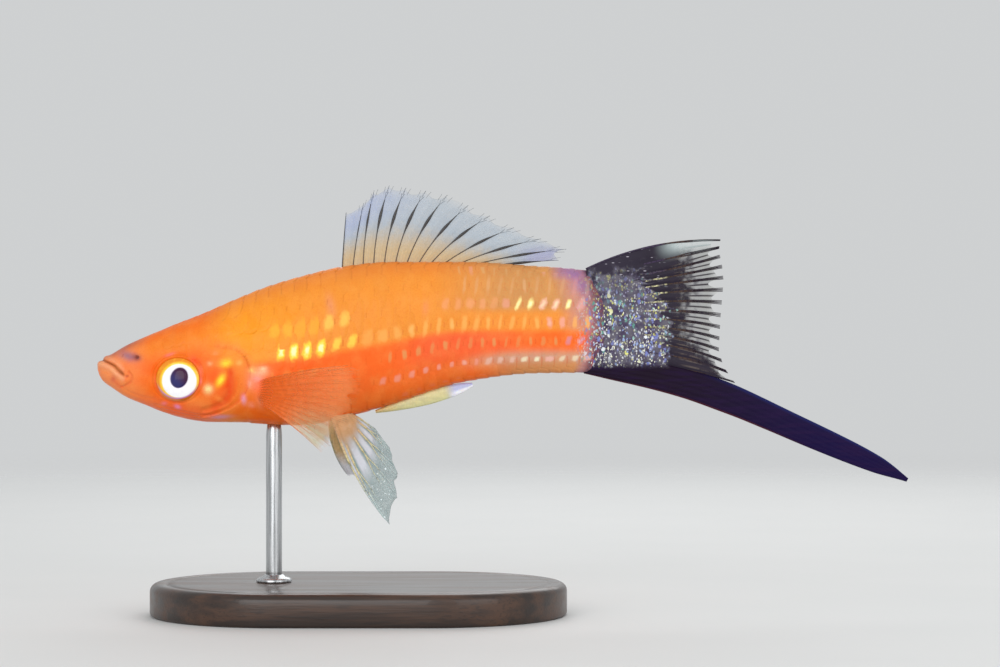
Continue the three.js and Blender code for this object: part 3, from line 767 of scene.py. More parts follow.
def girth_tables():
    """For each place along the body, the angle at each distance round it from the lateral row."""
    angles = np.linspace(-math.pi / 2 - 0.9, math.pi / 2 + 0.9, 601)
    rings = body_point(TABLE_X[:, None], angles[None])
    steps = np.linalg.norm(np.diff(rings, axis=1), axis=-1)
    run = np.concatenate([np.zeros((len(TABLE_X), 1)), np.cumsum(steps, axis=1)], axis=1)
    turns, tops, lows = [], [], []
    for x, ring, length in zip(TABLE_X, rings, run):
        flank = np.abs(angles) < math.pi / 2
        start = np.interp(LATERAL(x), ring[flank, 2], length[flank])
        turns.append(np.interp(TABLE_S, length - start, angles))
        tops.append(np.interp(math.pi / 2, angles, length - start))
        lows.append(np.interp(-math.pi / 2, angles, length - start))
    return np.array(turns), np.array(tops), np.array(lows)


TURNS, TOPS, LOWS = girth_tables()


def turn_at(x, s):
    """The angle at a place along the body and a distance round it from the lateral row."""
    fx = np.clip((x - TABLE_X[0]) / (TABLE_X[1] - TABLE_X[0]), 0, len(TABLE_X) - 1.001)
    fs = np.clip((s + TABLE_REACH) / (TABLE_S[1] - TABLE_S[0]), 0, len(TABLE_S) - 1.001)
    i, j = fx.astype(int), fs.astype(int)
    near = mix(TURNS[i, j], TURNS[i, j + 1], fs - j)
    far = mix(TURNS[i + 1, j], TURNS[i + 1, j + 1], fs - j)
    return mix(near, far, fx - i)


def row_place(x, row):
    """How far round the body from the lateral row another row is."""
    place = np.where(row == BACK_RIDGE, np.interp(x, TABLE_X, TOPS), row * ROWS_APART(x))
    return np.where(row == BELLY_RIDGE, np.interp(x, TABLE_X, LOWS), place)


def has_scale(x, z, row):
    """Whether the fish has a scale here: none on the snout, the eye's surround or the throat."""
    if oval(x, z, EYE, EYE_RADII) < 1.62 or x > 10.5:
        return False
    if row == BELLY_RIDGE:
        return x > -31.5
    from_cover, side = from_line(np.array(x), np.array(z), COVER_EDGE)
    if side > 0 and x < -31 and z < 33.4:
        return x > -38.4 and z > 27.2 and from_cover > 2.0
    if x < -33 and z < 33.0:
        return False
    return x > -42.2 and not (z < 33.2 and from_cover < 1.7)


def scale_places():
    """Every scale of one side: x, row, and three random numbers."""
    fine = np.linspace(SCALES_FROM, SCALES_TO, 4000)
    count = np.concatenate([[0], np.cumsum(np.diff(fine) / PITCH((fine[1:] + fine[:-1]) / 2))])
    rng = np.random.default_rng(SEED)
    places = []
    for row in [*SCALE_ROWS, BACK_RIDGE, BELLY_RIDGE]:
        ridge = row not in SCALE_ROWS
        shift = 0.25 if ridge else 0.56 - 0.5 * (row % 2)
        for number in np.arange(0, int(count[-1]) + 1) + shift:
            x = float(np.interp(number, count, fine))
            s = row_place(x, row)
            top, low = np.interp(x, TABLE_X, TOPS), np.interp(x, TABLE_X, LOWS)
            if not ridge and not low + 0.5 <= s <= top - 0.5:
                continue
            z = body_point(x, turn_at(np.array(x), s))[2]
            if number <= count[-1] - 0.2 and has_scale(x, z, row):
                places.append((x, row, rng.random(), rng.random(), rng.random()))
    return np.array(places)


PATCH = 0.003  # how wide a scale is on the bake's map
PLATE = (10, 13)  # points along and across a scale
LONG, TALL = 0.98, 1.04  # half a scale's length in pitches, and half its height in row spacings
SHELL = 0.04  # how thick a scale is
SAG = 0.08  # how far a scale's rim bends down
CUT_X = -16  # where the front pieces end
# Painted glints: reflections of light painted into the colour of scales, row by row
GLINTS = [  # row, first x, last x, colour, strength, how much it varies, half width and height, lean
    (0, -29.2, -22.6, (255, 232, 70), 1.0, 0.05, (0.32, 0.36), 0.22),
    (0, -22.6, -18.0, (255, 222, 84), 0.85, 0.15, (0.24, 0.24), 0.3),
    (0, -18.0, -12.6, (255, 186, 100), 0.5, 0.3, (0.3, 0.32), 0.1),
    (0, -12.6, 10.6, (255, 182, 96), 0.85, 0.25, (0.16, 0.32), 0.06),
    (1, -29.0, -23.0, (255, 190, 50), 0.5, 0.4, (0.4, 0.4), 0.2),
    (1, -23.0, -18.6, (255, 206, 90), 0.75, 0.3, (0.3, 0.36), 0.1),
    (1, -9.0, 0.0, (252, 172, 128), 0.45, 0.6, (0.26, 0.3), 0.3),
    (1, 0.0, 8.0, (255, 236, 150), 1.0, 0.15, (0.2, 0.3), 0.5),
    (1, 8.0, 10.6, (226, 186, 170), 0.8, 0.4, (0.24, 0.36), 0.5),
    (2, -7.0, 10.0, (232, 186, 140), 0.42, 0.6, (0.13, 0.45), 0.1),
    (3, -7.0, 10.0, (226, 186, 130), 0.36, 0.6, (0.12, 0.45), 0.0),
    (-1, -29.0, -23.0, (255, 160, 76), 0.6, 0.4, (0.26, 0.2), 0.3),
    (-1, -15.0, 6.6, (226, 160, 96), 0.75, 0.5, (0.13, 0.24), 0.1),
    (-1, 6.6, 10.6, (206, 150, 176), 0.8, 0.5, (0.18, 0.22), 0.3),
    (-2, -16.0, -4.0, (246, 160, 140), 0.85, 0.3, (0.17, 0.15), 0.1),
    (-2, -4.0, 1.0, (240, 196, 176), 0.8, 0.4, (0.24, 0.18), 0.4),
    (-2, 1.0, 10.6, (246, 232, 196), 0.9, 0.45, (0.24, 0.16), 0.5),
    (-3, -14.0, 0.0, (240, 130, 96), 0.4, 0.5, (0.2, 0.2), 0.0),
]


def glint_of(x, row, chance, other):
    """A scale's painted glint: its colour and strength, and its half width, half height and lean."""
    colour, power, shape = srgb(255, 170, 80), 0.0, (0.34, 0.4, 0.0)
    for band, start, end, paint, strength, varies, (wide, tall), lean in GLINTS:
        if band == row and start <= x < end:
            colour = srgb(*paint)
            power = strength * (1 - varies * chance)
            lean += 0.5 * (chance - 0.5)
            shape = (wide * mix(0.75, 1.3, other), tall * mix(0.8, 1.15, chance), lean)
            pinkish = x > -12 and other > 0.8 and (x > 5 or abs(row + 0.5) > 1)
            if pinkish:
                colour = mix(colour, srgb(248, 168, 168), 0.7)
            if x > 1 and row == 0 and other < 0.2:
                colour, power = srgb(250, 228, 250), 1.0
    return (*colour, power, *shape)


def scale_grid():
    """A rounded square of points, -1 to 1 each way: along the fish and round it."""
    u, v = np.meshgrid(*(np.linspace(-1, 1, steps) for steps in PLATE), indexing="ij")
    round_u, round_v = u * np.sqrt(1 - v**2 / 2), v * np.sqrt(1 - u**2 / 2)
    return mix(u, round_u, 0.9), mix(v, round_v, 0.9)


def scale_shapes(places):
    """Each scale's upper and under side, its colours with their painted light, each point's place on it,
    and its map's place.
    """
    u, v = scale_grid()
    x0, row, wobble, chance = [places[:, i][:, None, None] for i in range(4)]
    ridge = np.abs(row) == BACK_RIDGE
    pitch, apart, share = PITCH(x0), ROWS_APART(x0), coat_share(x0)
    along = LONG * pitch * u * mix(0.97, 1.03, wobble)
    across = TALL * apart * v * np.where(ridge, 0.62, 1.0)
    x = np.clip(x0 + along, SNOUT + 0.5, STEM_END + 0.2)
    middle = row_place(x, row)
    turn = turn_at(x, middle + across)
    surface, normal = body_point(x, turn), body_normal(x, turn)
    # Beside the gill cover's edge the scales lie flat
    centre = surface[:, PLATE[0] // 2, PLATE[1] // 2]
    from_cover, _ = from_line(centre[:, 0], centre[:, 2], COVER_EDGE)
    flat = 0.75 * smooth(from_cover, 5.0, 2.2)[:, None, None]
    rise = smooth(u, -1.5, 1.15) * 1.04 * (1 - flat) - 1.0
    lift = share * (COAT - SHELL * 0.6) * rise + relief(*np.moveaxis(surface, -1, 0))
    lift += np.where(ridge, 0.04 * share, 0.0)
    rim = np.zeros(PLATE)
    rim.ravel()[rim_of(*PLATE)] = 1
    thick = SHELL * mix(0.5, 1.0, share)
    upper = surface + normal * (lift - 0.5 * thick * rim - SAG * rim)[..., None]
    under = surface + normal * (lift - thick - SAG * rim)[..., None]
    colour = np.clip(colours_and_painted_light(surface) * mix(0.975, 1.025, wobble)[..., None], 0, 1)
    local = np.stack(np.broadcast_arrays((along - LONG * pitch) / pitch, across / apart, chance), -1)
    root = (places[:, 0] - LONG * pitch[:, 0, 0] - SNOUT) / (STEM_END - SNOUT) * 0.98 + 0.01
    turn_share = turn_at(places[:, 0], middle[:, PLATE[0] // 2, PLATE[1] // 2]) / TURN
    return upper, under, colour, local, root, turn_share


def make_scales(material):
    places = scale_places()
    size = PLATE[0] * PLATE[1]
    upper, under, colour, local, root, turn_share = scale_shapes(places)
    shapes = [each.reshape(len(places), size, 3) for each in (upper, under, colour, local)]
    upper, under, colour, local = shapes
    glints = np.array([glint_of(x, row, chance, other) for x, row, _, chance, other in places])
    glints = np.repeat(glints[:, None], size, 1)
    parts = plate_faces(*PLATE)
    faces = np.vstack(parts)
    is_sheet = np.repeat([True, False, True], [len(part) for part in parts])
    spot = np.stack(scale_grid(), -1).reshape(1, size, 2) * PATCH / 2
    for name, side in SIDES.items():
        own_turn = (turn_share if side < 0 else 0.5 - turn_share) % 1.0
        place = np.stack([root, np.clip(own_turn, 0.002, 0.998)], -1)[:, None] + spot
        order = faces if side < 0 else faces[:, ::-1]
        mirror = np.array([1, -side, 1])
        # The scales of the ridges are made once, with the left side
        own = (np.abs(places[:, 1]) < BACK_RIDGE) | (side < 0)
        for part, in_part in {"front": places[:, 0] < CUT_X, "rear": places[:, 0] >= CUT_X}.items():
            keep = own & in_part
            points = np.concatenate([upper[keep], under[keep]], 1) * mirror
            count = len(points)
            facts = {
                "ColoursAndPaintedLight": opaque(colour[keep]),
                "Local": local[keep],
                "Glint": glints[keep][..., :4],
                "Shape": glints[keep][..., 4:],
            }
            facts = {key: both_sides(values) for key, values in facts.items()}
            make_piece(
                f"scales_{name}_{part}",
                points.reshape(-1, 3),
                [many(order, 2 * size, count)],
                material,
                FLESH,
                facts,
                both_sides(place[keep]),
                np.tile(is_sheet, count),
            )


def both_sides(values):
    """The same values for the upper and the under side of each scale, in one list."""
    return np.concatenate([values, values], 1).reshape(-1, values.shape[-1])


# Eyes

PUPIL = ((-39.92, 29.6), (1.04, 1.24), -20)  # centre, radii, lean
WHITE = ((-39.92, 29.2), (2.2, 2.12))


def make_eyes(material):
    rings, around = 56, 96
    share = np.linspace(0, 1.12, rings)[:, None]
    angle = circle(around)[None]
    x = EYE[0] + EYE_RADII[0] * share * np.cos(angle)
    z = EYE[1] + EYE_RADII[1] * share * np.sin(angle)
    pupil, white = oval(x, z, *PUPIL), oval(x, z, *WHITE)
    slope = (half(EYE[0] + 1) - half(EYE[0] - 1)) / 2
    rim = half(EYE[0]) - 0.07 + slope * (x - EYE[0])
    dome = 0.62 * (1 - np.clip(share, 0, 1) ** 2) ** 0.8 - 3.5 * np.clip(share - 1, 0, 1)
    lens = 0.2 * np.sqrt(np.clip(1 - pupil**2, 0, 1)) - 0.1 * bell(pupil - 1.05, 0.16)
    out = rim + dome - 0.12 * bell(pupil, 1.6) + lens
    points = np.stack([x, out, z], -1).reshape(-1, 3)
    points = np.vstack([points, [EYE[0], half(EYE[0]) - 2.2, EYE[1]]])
    last_ring = (rings - 1) * around + np.arange(around)
    faces = [ring_faces(rings, around), fan_faces(rings * around, last_ring)]
    facts = {"Ring": np.broadcast_to(share, x.shape), "Pupil": pupil, "White": white}
    facts = {key: np.append(value, value[-1, -1]) for key, value in facts.items()}
    place = np.stack([x - EYE[0], z - EYE[1]], -1).reshape(-1, 2) / (2.3 * EYE_RADII[0]) + 0.5
    place = np.vstack([place, [0.5, 0.5]])
    for name, side in SIDES.items():
        order = faces if side > 0 else flipped(faces)
        shape = points * [1, side, 1]
        make_piece(f"eye_{name}_ball", shape, order, material, [f"eye_{name}"], facts, place)


def eye_paint():
    paint = Paint("fish_eye")
    ring, pupil, white = [paint.fact(name) for name in ("Ring", "Pupil", "White")]
    x, _, z = paint.place().parts()
    cloud = paint.noise(0.5, 3)
    gold = paint.coats(
        (255, 212, 44),
        (white.span(1.03, 1.2), (236, 140, 8)),
        (cloud.span(0.45, 0.7, 0, 0.5), (255, 178, 20)),
    )
    # the pupil's dark plum with a painted bluish sheen towards its lower front
    dark = paint.blend((x + z).span(-11.4, -9.4, 1, 0), (66, 28, 62), (50, 48, 104))
    colour = paint.coats(
        (255, 255, 255),
        (cloud.span(0.4, 0.75, 0, 0.35), (236, 226, 244)),
        (white.span(0.93, 1.03), gold),
        # painted shadow: a lilac line on the lower part of the rim only
        (ring.span(0.9, 0.99) * z.span(EYE[1] - 0.4, EYE[1] - 2.0), (196, 130, 190)),
        (ring.span(0.99, 1.03), (222, 120, 30)),
        (pupil.span(1.16, 1.02), (214, 200, 222)),
        (pupil.span(1.08, 0.98), dark),
    )
    paint.set(Base_Color=colour, Roughness=0.3, IOR=1.38, Coat_Weight=pupil.span(0.9, 1.2, 0.25, 0.9))
    paint.set(Coat_Roughness=0.08, Specular_IOR_Level=0.2)
    paint.bump(cloud, 0.02, 0.3)
    return paint.material


# Fins: every ray is an arc from root to tip in the fin's own plane

STRAIGHT = 1e-4  # the smallest bend that an arc is worked out with
RAY_STEPS, RAY_AROUND = 18, 6
OVERLAP = 0.015  # how far a fork reaches back into the stretch before it
DRIFT = 0.22  # the share of a ray over which a fork opens
LEADING = 0.04  # a ray before this share of the fan is the leading one


def ray_point(root, tip, turn, share):
    """Points of arcs that turn by so many degrees between root and tip."""
    chord_u, chord_v = tip[0] - root[0], tip[1] - root[1]
    bend = np.radians(turn) / 2
    bend = np.where(np.abs(bend) < STRAIGHT, STRAIGHT, bend)
    reach = np.sin(bend * share) / np.sin(bend)
    lead = bend * (share - 1)
    u = root[0] + reach * (chord_u * np.cos(lead) - chord_v * np.sin(lead))
    v = root[1] + reach * (chord_u * np.sin(lead) + chord_v * np.cos(lead))
    return u, v


class Fin:
    """A fan of rays in a plane. root(t) is where a ray starts, and place(u, v, off) puts it into space.

    shape holds the number of rays, their tips and their turns. t is a ray's share of the fan.
    """

    def __init__(self, node, slot, shape, root, place, mirrored=False):
        self.node = node
        self.slot = slot
        self.shape = shape
        self.root = root
        self.place = place
        self.mirrored = mirrored
        self.gaps = shape["rays"] - 1
        self.gap = 1 / self.gaps

    def point(self, t, share, off=0.0):
        t, share = np.broadcast_arrays(t, share)
        t = np.clip(t, 0, 1)
        tip_u, tip_v, turn = [even(self.shape[key], t) for key in ("tip_u", "tip_v", "turn")]
        u, v = ray_point(self.root(t), (tip_u, tip_v), turn, share)
        return self.place(u, v, off)

    def make(self, part, points, faces, material, facts, place):
        faces = flipped(faces) if self.mirrored else faces
        make_piece(f"{self.node}_{part}", points, faces, material, [self.node], facts, place)

    def make_web(self, material, reach, thick, pleat, columns=8, steps=40):
        """A thin closed web. reach(t, between) is its length as a share of the rays' length."""
        t = np.linspace(0, 1, self.gaps * columns + 1)[:, None]
        between = np.abs(np.sin(math.pi * self.gaps * t))
        share = np.linspace(0, 1, steps + 1)[None] * reach(t, between)
        off = pleat * np.cos(TURN * self.gaps * t) * np.clip(share * 2, 0, 1)
        depth = thick(share) / 2
        points = [self.point(t, share, side).reshape(-1, 3) for side in (off - depth, off + depth)]
        facts = {
            key: np.tile(np.broadcast_to(value, share.shape).ravel(), 2)
            for key, value in {"Out": share, "Fan": t, "Between": between}.items()
        }
        lane = np.repeat([0.01, 0.51], share.size)
        place = np.stack([facts["Fan"] * 0.48 + lane, facts["Out"] * 0.96 + 0.02], -1)
        self.make("web", np.vstack(points), plate_faces(*share.shape), material, facts, place)

    def stretches(self, splits, spread):
        """The rays' stretches as (t, level, start, end, offset in t). A ray forks at each split."""
        out = []
        for t in np.arange(self.gaps + 1) * self.gap:
            start, offsets = 0.0, [0.0]
            for level, end in enumerate([*splits(t), 1.0]):
                out += [(t, level, start, end, offset) for offset in offsets]
                if end < 1.0:
                    step = spread[level] * self.gap
                    offsets = [offset + way for offset in offsets for way in (-step, step)]
                    start = end
        return out

    def make_rays(self, material, splits, spread, limit, radius, pleat):
        """Joined tubes for all rays. radius(t, share, level) is half a ray's width."""
        roots, levels, ts, shares = [], [], [], []
        for root_t, level, start, end, offset in self.stretches(splits, spread):
            along = np.linspace(max(0, start - OVERLAP), min(end, limit), RAY_STEPS)
            # A fork moves away from its ray's middle line, by its level's spread
            moves = math.copysign(spread[level - 1] * self.gap, offset) if level else 0.0
            roots.append([root_t])
            levels.append([level])
            shares.append(along)
            ts.append(root_t + mix(offset - moves, offset, smooth(along, start, start + DRIFT)))
        root_t, level, t, share = [np.array(values) for values in (roots, levels, ts, shares)]
        off = pleat * np.clip(share * 2, 0, 1)
        middle = self.point(t, share, off)
        normal = self.point(t, share, off + 0.5) - self.point(t, share, off - 0.5)
        normal /= np.linalg.norm(normal, axis=-1, keepdims=True)
        side = np.cross(normal, np.gradient(middle, axis=1))
        side /= np.maximum(np.linalg.norm(side, axis=-1, keepdims=True), 1e-9)
        wide = radius(root_t, share, level)[..., None, None]
        deep = np.minimum(wide, 0.13 + 0.2 * wide)
        angle = circle(RAY_AROUND)[:, None]
        points = middle[:, :, None] + wide * np.cos(angle) * side[:, :, None]
        points = points + deep * np.sin(angle) * normal[:, :, None]
        count = len(points)
        tube = closed_tube(RAY_STEPS, RAY_AROUND)
        faces = [many(part, RAY_STEPS * RAY_AROUND, count) for part in tube]
        facts = {
            key: np.broadcast_to(value[..., None], points.shape[:3]).ravel()
            for key, value in {"Out": share, "Fan": root_t}.items()
        }
        row = (np.arange(count)[:, None, None] + 0.5) / count
        across = row + 0.8 / count * (np.arange(RAY_AROUND) / RAY_AROUND - 0.4)
        place = np.stack(np.broadcast_arrays(0.02 + 0.96 * share[..., None], across), -1)
        self.make("rays", points.reshape(-1, 3), faces, material, facts, place.reshape(-1, 2))


def mid_plane(wave):
    """The place of a fin in the fish's middle plane, which wave(u, v) bends to the side."""

    def place(u, v, off):
        return np.stack(np.broadcast_arrays(u, off + wave(u, v), v), -1)

    return place


def frayed(notch, seed):
    """A margin that falls back between the rays, a little differently each time."""
    rng = np.random.default_rng(SEED + seed)
    waves = [(rng.uniform(20, 70), rng.uniform(0, 6), rng.uniform(0.3, 1)) for _ in range(4)]

    def reach(t, between):
        jitter = sum(size * np.sin(speed * t + start) for speed, start, size in waves) / 3
        return 1 - notch * between**0.7 * (1 + 0.5 * jitter) - 0.02 * (1 + jitter)

    return reach


class Web(Paint):
    """The material of a clear web, which changes from root to margin."""

    def __init__(self, name):
        super().__init__(name)
        self.out, self.fan = self.fact("Out"), self.fact("Fan")
        self.cloud = self.noise(0.8, 3)

    def colours(self, inner, outer, start, end):
        return self.blend((self.out + self.cloud * 0.25).span(start, end), inner, outer)

    def opacity(self, at_root, at_margin, start, end):
        return self.out.span(start, end, at_root, at_margin) * self.cloud.span(0.25, 0.8, 0.8, 1.15)

    def finish(self, colour, opacity, coat=0.2):
        self.set(Base_Color=colour, Alpha=opacity, Roughness=0.42, Coat_Weight=coat, Coat_Roughness=0.15)
        self.set(Specular_IOR_Level=0.3)
        self.bump(self.noise(0.3, 3, (0.5, 1, 1)), 0.02, 0.4)
        return self.material


def ray_paint(name, colours, stops, fade=None):
    """Rays change through three colours from root to tip, with fine joints across them."""
    paint = Paint(name)
    out = paint.fact("Out")
    place = out + paint.noise(0.35, 2).span(0.3, 0.7, -0.06, 0.06)
    joints = (out * 190.0).sine()
    colour = paint.coats(
        colours[0],
        (place.span(*stops[0]), colours[1]),
        (place.span(*stops[1]), colours[2]),
        (joints.span(0.6, 1.0, 0, 0.25), (20, 12, 20)),
    )
    paint.set(Base_Color=colour, Roughness=0.35, Coat_Weight=0.3, Coat_Roughness=0.15)
    if fade:
        paint.set(Alpha=out.span(0.0, 0.24, 0.05, 1.0) * out.span(0.5, 1.0, *fade))
    paint.bump(joints, 0.02, 0.4)
    return paint.material


# Dorsal fin

DORSAL = {
    "rays": 13,
    "tip_u": [-19.6, -17.4, -16.1, -14.2, -12.1, -9.6, -6.9, -4.3, -1.6, 1.4, 4.8, 8.0, 7.0],
    "tip_v": [50.2, 51.4, 53.0, 53.6, 53.3, 52.9, 52.4, 51.1, 49.8, 48.3, 46.9, 45.6, 44.2],
    "turn": [-2, -8, -14, -18, -22, -25, -24, -22, -20, -17, -14, -11, -7],
    "from": -20.1,
    "to": -4.4,
    "sunk": 0.9,
    "sway": 0.45,
}


def dorsal_web():
    web = Web("dorsal_web")
    out, fan = web.out, web.fan
    colour = web.coats(
        web.colours((208, 180, 132), (172, 184, 196), 0.32, 0.76),
        (fan.span(0.5, 0.1) * out.span(0.45, 0.8, 0, 0.7), (150, 166, 214)),
        (fan.span(0.82, 0.96) * out.span(0.5, 0.75, 0, 0.8), (140, 140, 196)),
    )
    streak = (fan * 300.0).sine()
    opacity = web.opacity(0.8, 0.42, 0.1, 0.85) * streak.span(-1, 1, 0.93, 1.05)
    return web.finish(colour, opacity * out.span(0.99, 0.84, 0.2, 1.0))


def make_dorsal():
    def root(t):
        x = mix(DORSAL["from"], DORSAL["to"], t)
        return x, back(x) - DORSAL["sunk"]

    def wave(u, v):
        high = np.maximum(0, v - back(u)) / 10
        return DORSAL["sway"] * high * np.sin((u - DORSAL["from"]) * 0.42)

    def splits(t):
        return () if t < LEADING else (mix(0.83, 0.8, t), 0.92)

    def radius(t, share, level):
        spindle = mix(0.19, 0.13, t) * bell(share - mix(0.64, 0.58, t), 0.12) * smooth(t, 0.02, 0.3)
        plain = mix(0.11, 0.035, share)
        width = np.where(level == 0, plain + spindle * 0.9, plain * 0.7 + spindle * 0.5)
        return width * np.where(level > 1, 0.7, 1)

    fin = Fin("dorsal_fin", "clear_fin", DORSAL, root, mid_plane(wave))
    fin.make_web(dorsal_web(), frayed(0.045, 1), lambda share: mix(0.12, 0.05, share), 0.05)
    colours = [(84, 60, 40), (42, 36, 34), (92, 98, 106)]
    paint = ray_paint("dorsal_rays", colours, [(0.2, 0.4), (0.8, 0.98)])
    fin.make_rays(paint, splits, (0.22, 0.12), 0.995, radius, 0.05)


# Tail fin and sword

TAIL = {
    "rays": 14,
    "tip_u": [27.2, 27.0, 27.4, 27.6, 27.4, 27.2, 27.1, 27.0, 27.6, 29.0],
    "tip_v": [46.8, 45.4, 43.6, 41.6, 39.3, 37.0, 34.9, 32.9, 30.9, 28.9],
    "turn": [-28, 12, 4, -8, -16, -22, -28, -32, -34, -18],
    "root": 10.4,
    "top": 43.0,
    "bottom": 31.7,
    "sway": 0.5,
}
STREAKS = 163.4  # two dark streaks in each gap between the tail's rays


def tail_sway(u):
    return TAIL["sway"] * np.sin(np.maximum(0, u - TAIL["root"]) * 0.085)


def tail_web():
    web = Web("tail_web")
    out, fan = web.out, web.fan
    cloudy = web.noise(0.9, 2)
    clearing = out - fan.span(0.7, 0.98, 0, 0.18) + cloudy.span(0.3, 0.7, -0.05, 0.05)
    streak = (fan * STREAKS + 1.57).sine().span(0.1, 0.9) * out.span(0.6, 0.8, 0, 0.8)
    olive = (fan * STREAKS - 0.2).sine().span(0.2, 0.9) * out.span(0.6, 0.72, 0, 0.6)
    top = fan.span(0.1, 0.0) * out.span(0.5, 0.7)
    away, chance, _ = web.cells(0.42, (0.45, 1, 1.6))
    dash = away.span(0.26, 0.14) * chance.span(0.6, 0.66)
    dash = dash * (out.span(0.06, 0.14, 0, 0.7) * out.span(0.62, 0.5)) * fan.span(0.3, 0.22)
    colour = web.coats(
        web.colours((34, 24, 46), (25, 12, 36), 0.3, 0.64),
        (clearing.span(0.76, 0.92, 0, 0.6), (128, 132, 118)),
        (streak, (40, 28, 44)),
        (olive * cloudy.span(0.35, 0.6), (104, 92, 84)),
        (top, (190, 205, 205)),
        (dash, (206, 200, 214)),
    )
    opacity = clearing.span(0.64, 0.82, 1.0, 0.24).at_least(streak)
    opacity = opacity * top.span(0, 1, 1.0, 0.55) * out.span(0.99, 0.88)
    return web.finish(speckles(web, colour), opacity, 0.06)


def tail_ray_paint():
    paint = Paint("tail_rays")
    out, fan = paint.fact("Out"), paint.fact("Fan")
    joints = (out * 170.0).sine()
    colour = paint.coats(
        (60, 46, 74),
        # painted glints: a pale stretch on the middle rays
        (out.span(0.36, 0.44) * abs(fan - 0.5).span(0.36, 0.24), (214, 208, 160)),
        (paint.noise(0.35, 2).span(0.46, 0.6, 0, 0.9), (66, 54, 78)),
        (out.span(0.56, 0.62), (74, 56, 48)),
        (out.span(0.68, 0.86), (34, 20, 36)),
        (joints.span(0.2, 0.9, 0, 0.5), (34, 20, 44)),
    )
    paint.set(Base_Color=speckles(paint, colour, 0.3, ground=0.25), Roughness=0.4)
    paint.set(Coat_Weight=0.06, Specular_IOR_Level=0.2)
    paint.bump(joints, 0.03, 0.5)
    return paint.material


def make_tail():
    def root(t):
        return TAIL["root"], mix(TAIL["top"], TAIL["bottom"], t)

    def thick(share):
        return mix(1.5, 0.12, smooth(share, -0.1, 0.6)) * mix(1, 0.7, share)

    def splits(t):
        return 0.6, 0.8

    def radius(t, share, level):
        return mix(0.24, 0.06, share) * np.array([1, 0.85, 0.7])[level]

    fin = Fin("tail_fin", "dark_fin", TAIL, root, mid_plane(lambda u, v: tail_sway(u)))
    fin.make_web(tail_web(), frayed(0.06, 2), thick, 0.04, 10, 60)
    fin.make_rays(tail_ray_paint(), splits, (0.09, 0.045), 1.0, radius, 0.04)


def make_rod(name, points, faces, material, node, across):
    """A piece from rings of points. Across is where a point is round its ring, Out how far along."""
    rings, around = points.shape[:2]
    out, turn = np.linspace(0, 1, rings)[:, None], (np.arange(around) + 0.5) / around
    out, turn, across = [values.ravel() for values in np.broadcast_arrays(out, turn, across)]
    facts = {"Out": out, "Across": across}
    make_piece(name, points.reshape(-1, 3), faces, material, [node], facts, np.stack([out, turn], -1))


SWORD = {
    "root": (10.2, 31.0),
    "headings": [-6, -8, -11.5, -15.5, -20.5, -24, -24.5, -24, -24, -25, -29],
    "length": 43.0,
    "half": [0.95, 1.4, 1.65, 1.8, 1.9, 1.8, 1.68, 1.58, 1.42, 1.1, 0.25],
    "thick": 0.95,
    "rays": 5,
    "steps": 170,
    "across": 33,
}


def sword_paint():
    paint = Paint("sword")
    out, across = paint.fact("Out"), paint.fact("Across")
    streaks = paint.noise(0.5, 4, (0.12, 1, 1))
    colour = paint.coats(
        (26, 11, 32),
        (out.span(0.2, 0.8), (20, 6, 58)),
        (streaks.span(0.4, 0.7, 0, 0.5), (38, 18, 60)),
        # painted sheen: a blue tint along the upper edge
        (across.span(0.7, 0.98) * out.span(0.3, 0.5), (28, 34, 90)),
        (across.span(-0.84, -0.99) * out.span(0.75, 0.5), (84, 34, 44)),
    )
    paint.set(Base_Color=speckles(paint, colour), Roughness=streaks.span(0.3, 0.7, 0.45, 0.6))
    paint.set(Specular_IOR_Level=0.1)
    paint.bump(streaks, 0.05, 0.6)
    return paint.material


def make_sword():
    steps = SWORD["steps"]
    share = np.linspace(0, 1, steps + 1)
    step_heading = np.radians(even(SWORD["headings"], (share[1:] + share[:-1]) / 2))
    u, v = [
        start + np.concatenate([[0], np.cumsum(way(step_heading) * SWORD["length"] / steps)])[:, None]
        for start, way in zip(SWORD["root"], (np.cos, np.sin))
    ]
    share = share[:, None]
    heading = np.radians(even(SWORD["headings"], share))
    width = track(np.linspace(0, 1, len(SWORD["half"])), SWORD["half"])(share)
    at = np.linspace(-1, 1, SWORD["across"])[None]
    # The edge that joins the tail fin stays thick
    joined = smooth(share, 0.4, 0.22) * (at > 0)
    edge = mix(np.sqrt(np.clip(1 - at**4, 0, 1)), 1, 0.9 * joined)
    ridge = 0.86 + 0.14 * np.abs(np.cos(at * math.pi * SWORD["rays"] / 2)) ** 0.7
    depth = SWORD["thick"] / 2 * mix(1, 0.55, share) * mix(0.12, 1, edge) * ridge
    x = u - np.sin(heading) * width * at
    z = v + np.cos(heading) * width * at
    near, far = [np.stack([x, tail_sway(x) + off, z], -1) for off in (-depth, depth)]
    points = np.concatenate([near, far[:, ::-1]], 1)
    across = np.concatenate([at[0], at[0, ::-1]])
    faces = closed_tube(*points.shape[:2])
    make_rod("sword_blade", points, faces, sword_paint(), "sword", across)


# Paired fins

PECTORAL = {
    "rays": 12,
    "tip_u": [13.4, 15.0, 15.2, 14.4, 12.9, 11.3, 9.7],
    "tip_v": [31.2, 30.6, 28.5, 26.2, 24.1, 22.2, 20.5],
    "turn": [-12, -10, -6, -4, -4, -8, -12],
    "x": -30.9,
    "top": 28.9,
    "bottom": 26.6,
    "sunk": 0.75,
    "splay": math.radians(24),
    "cup": 0.004,
}


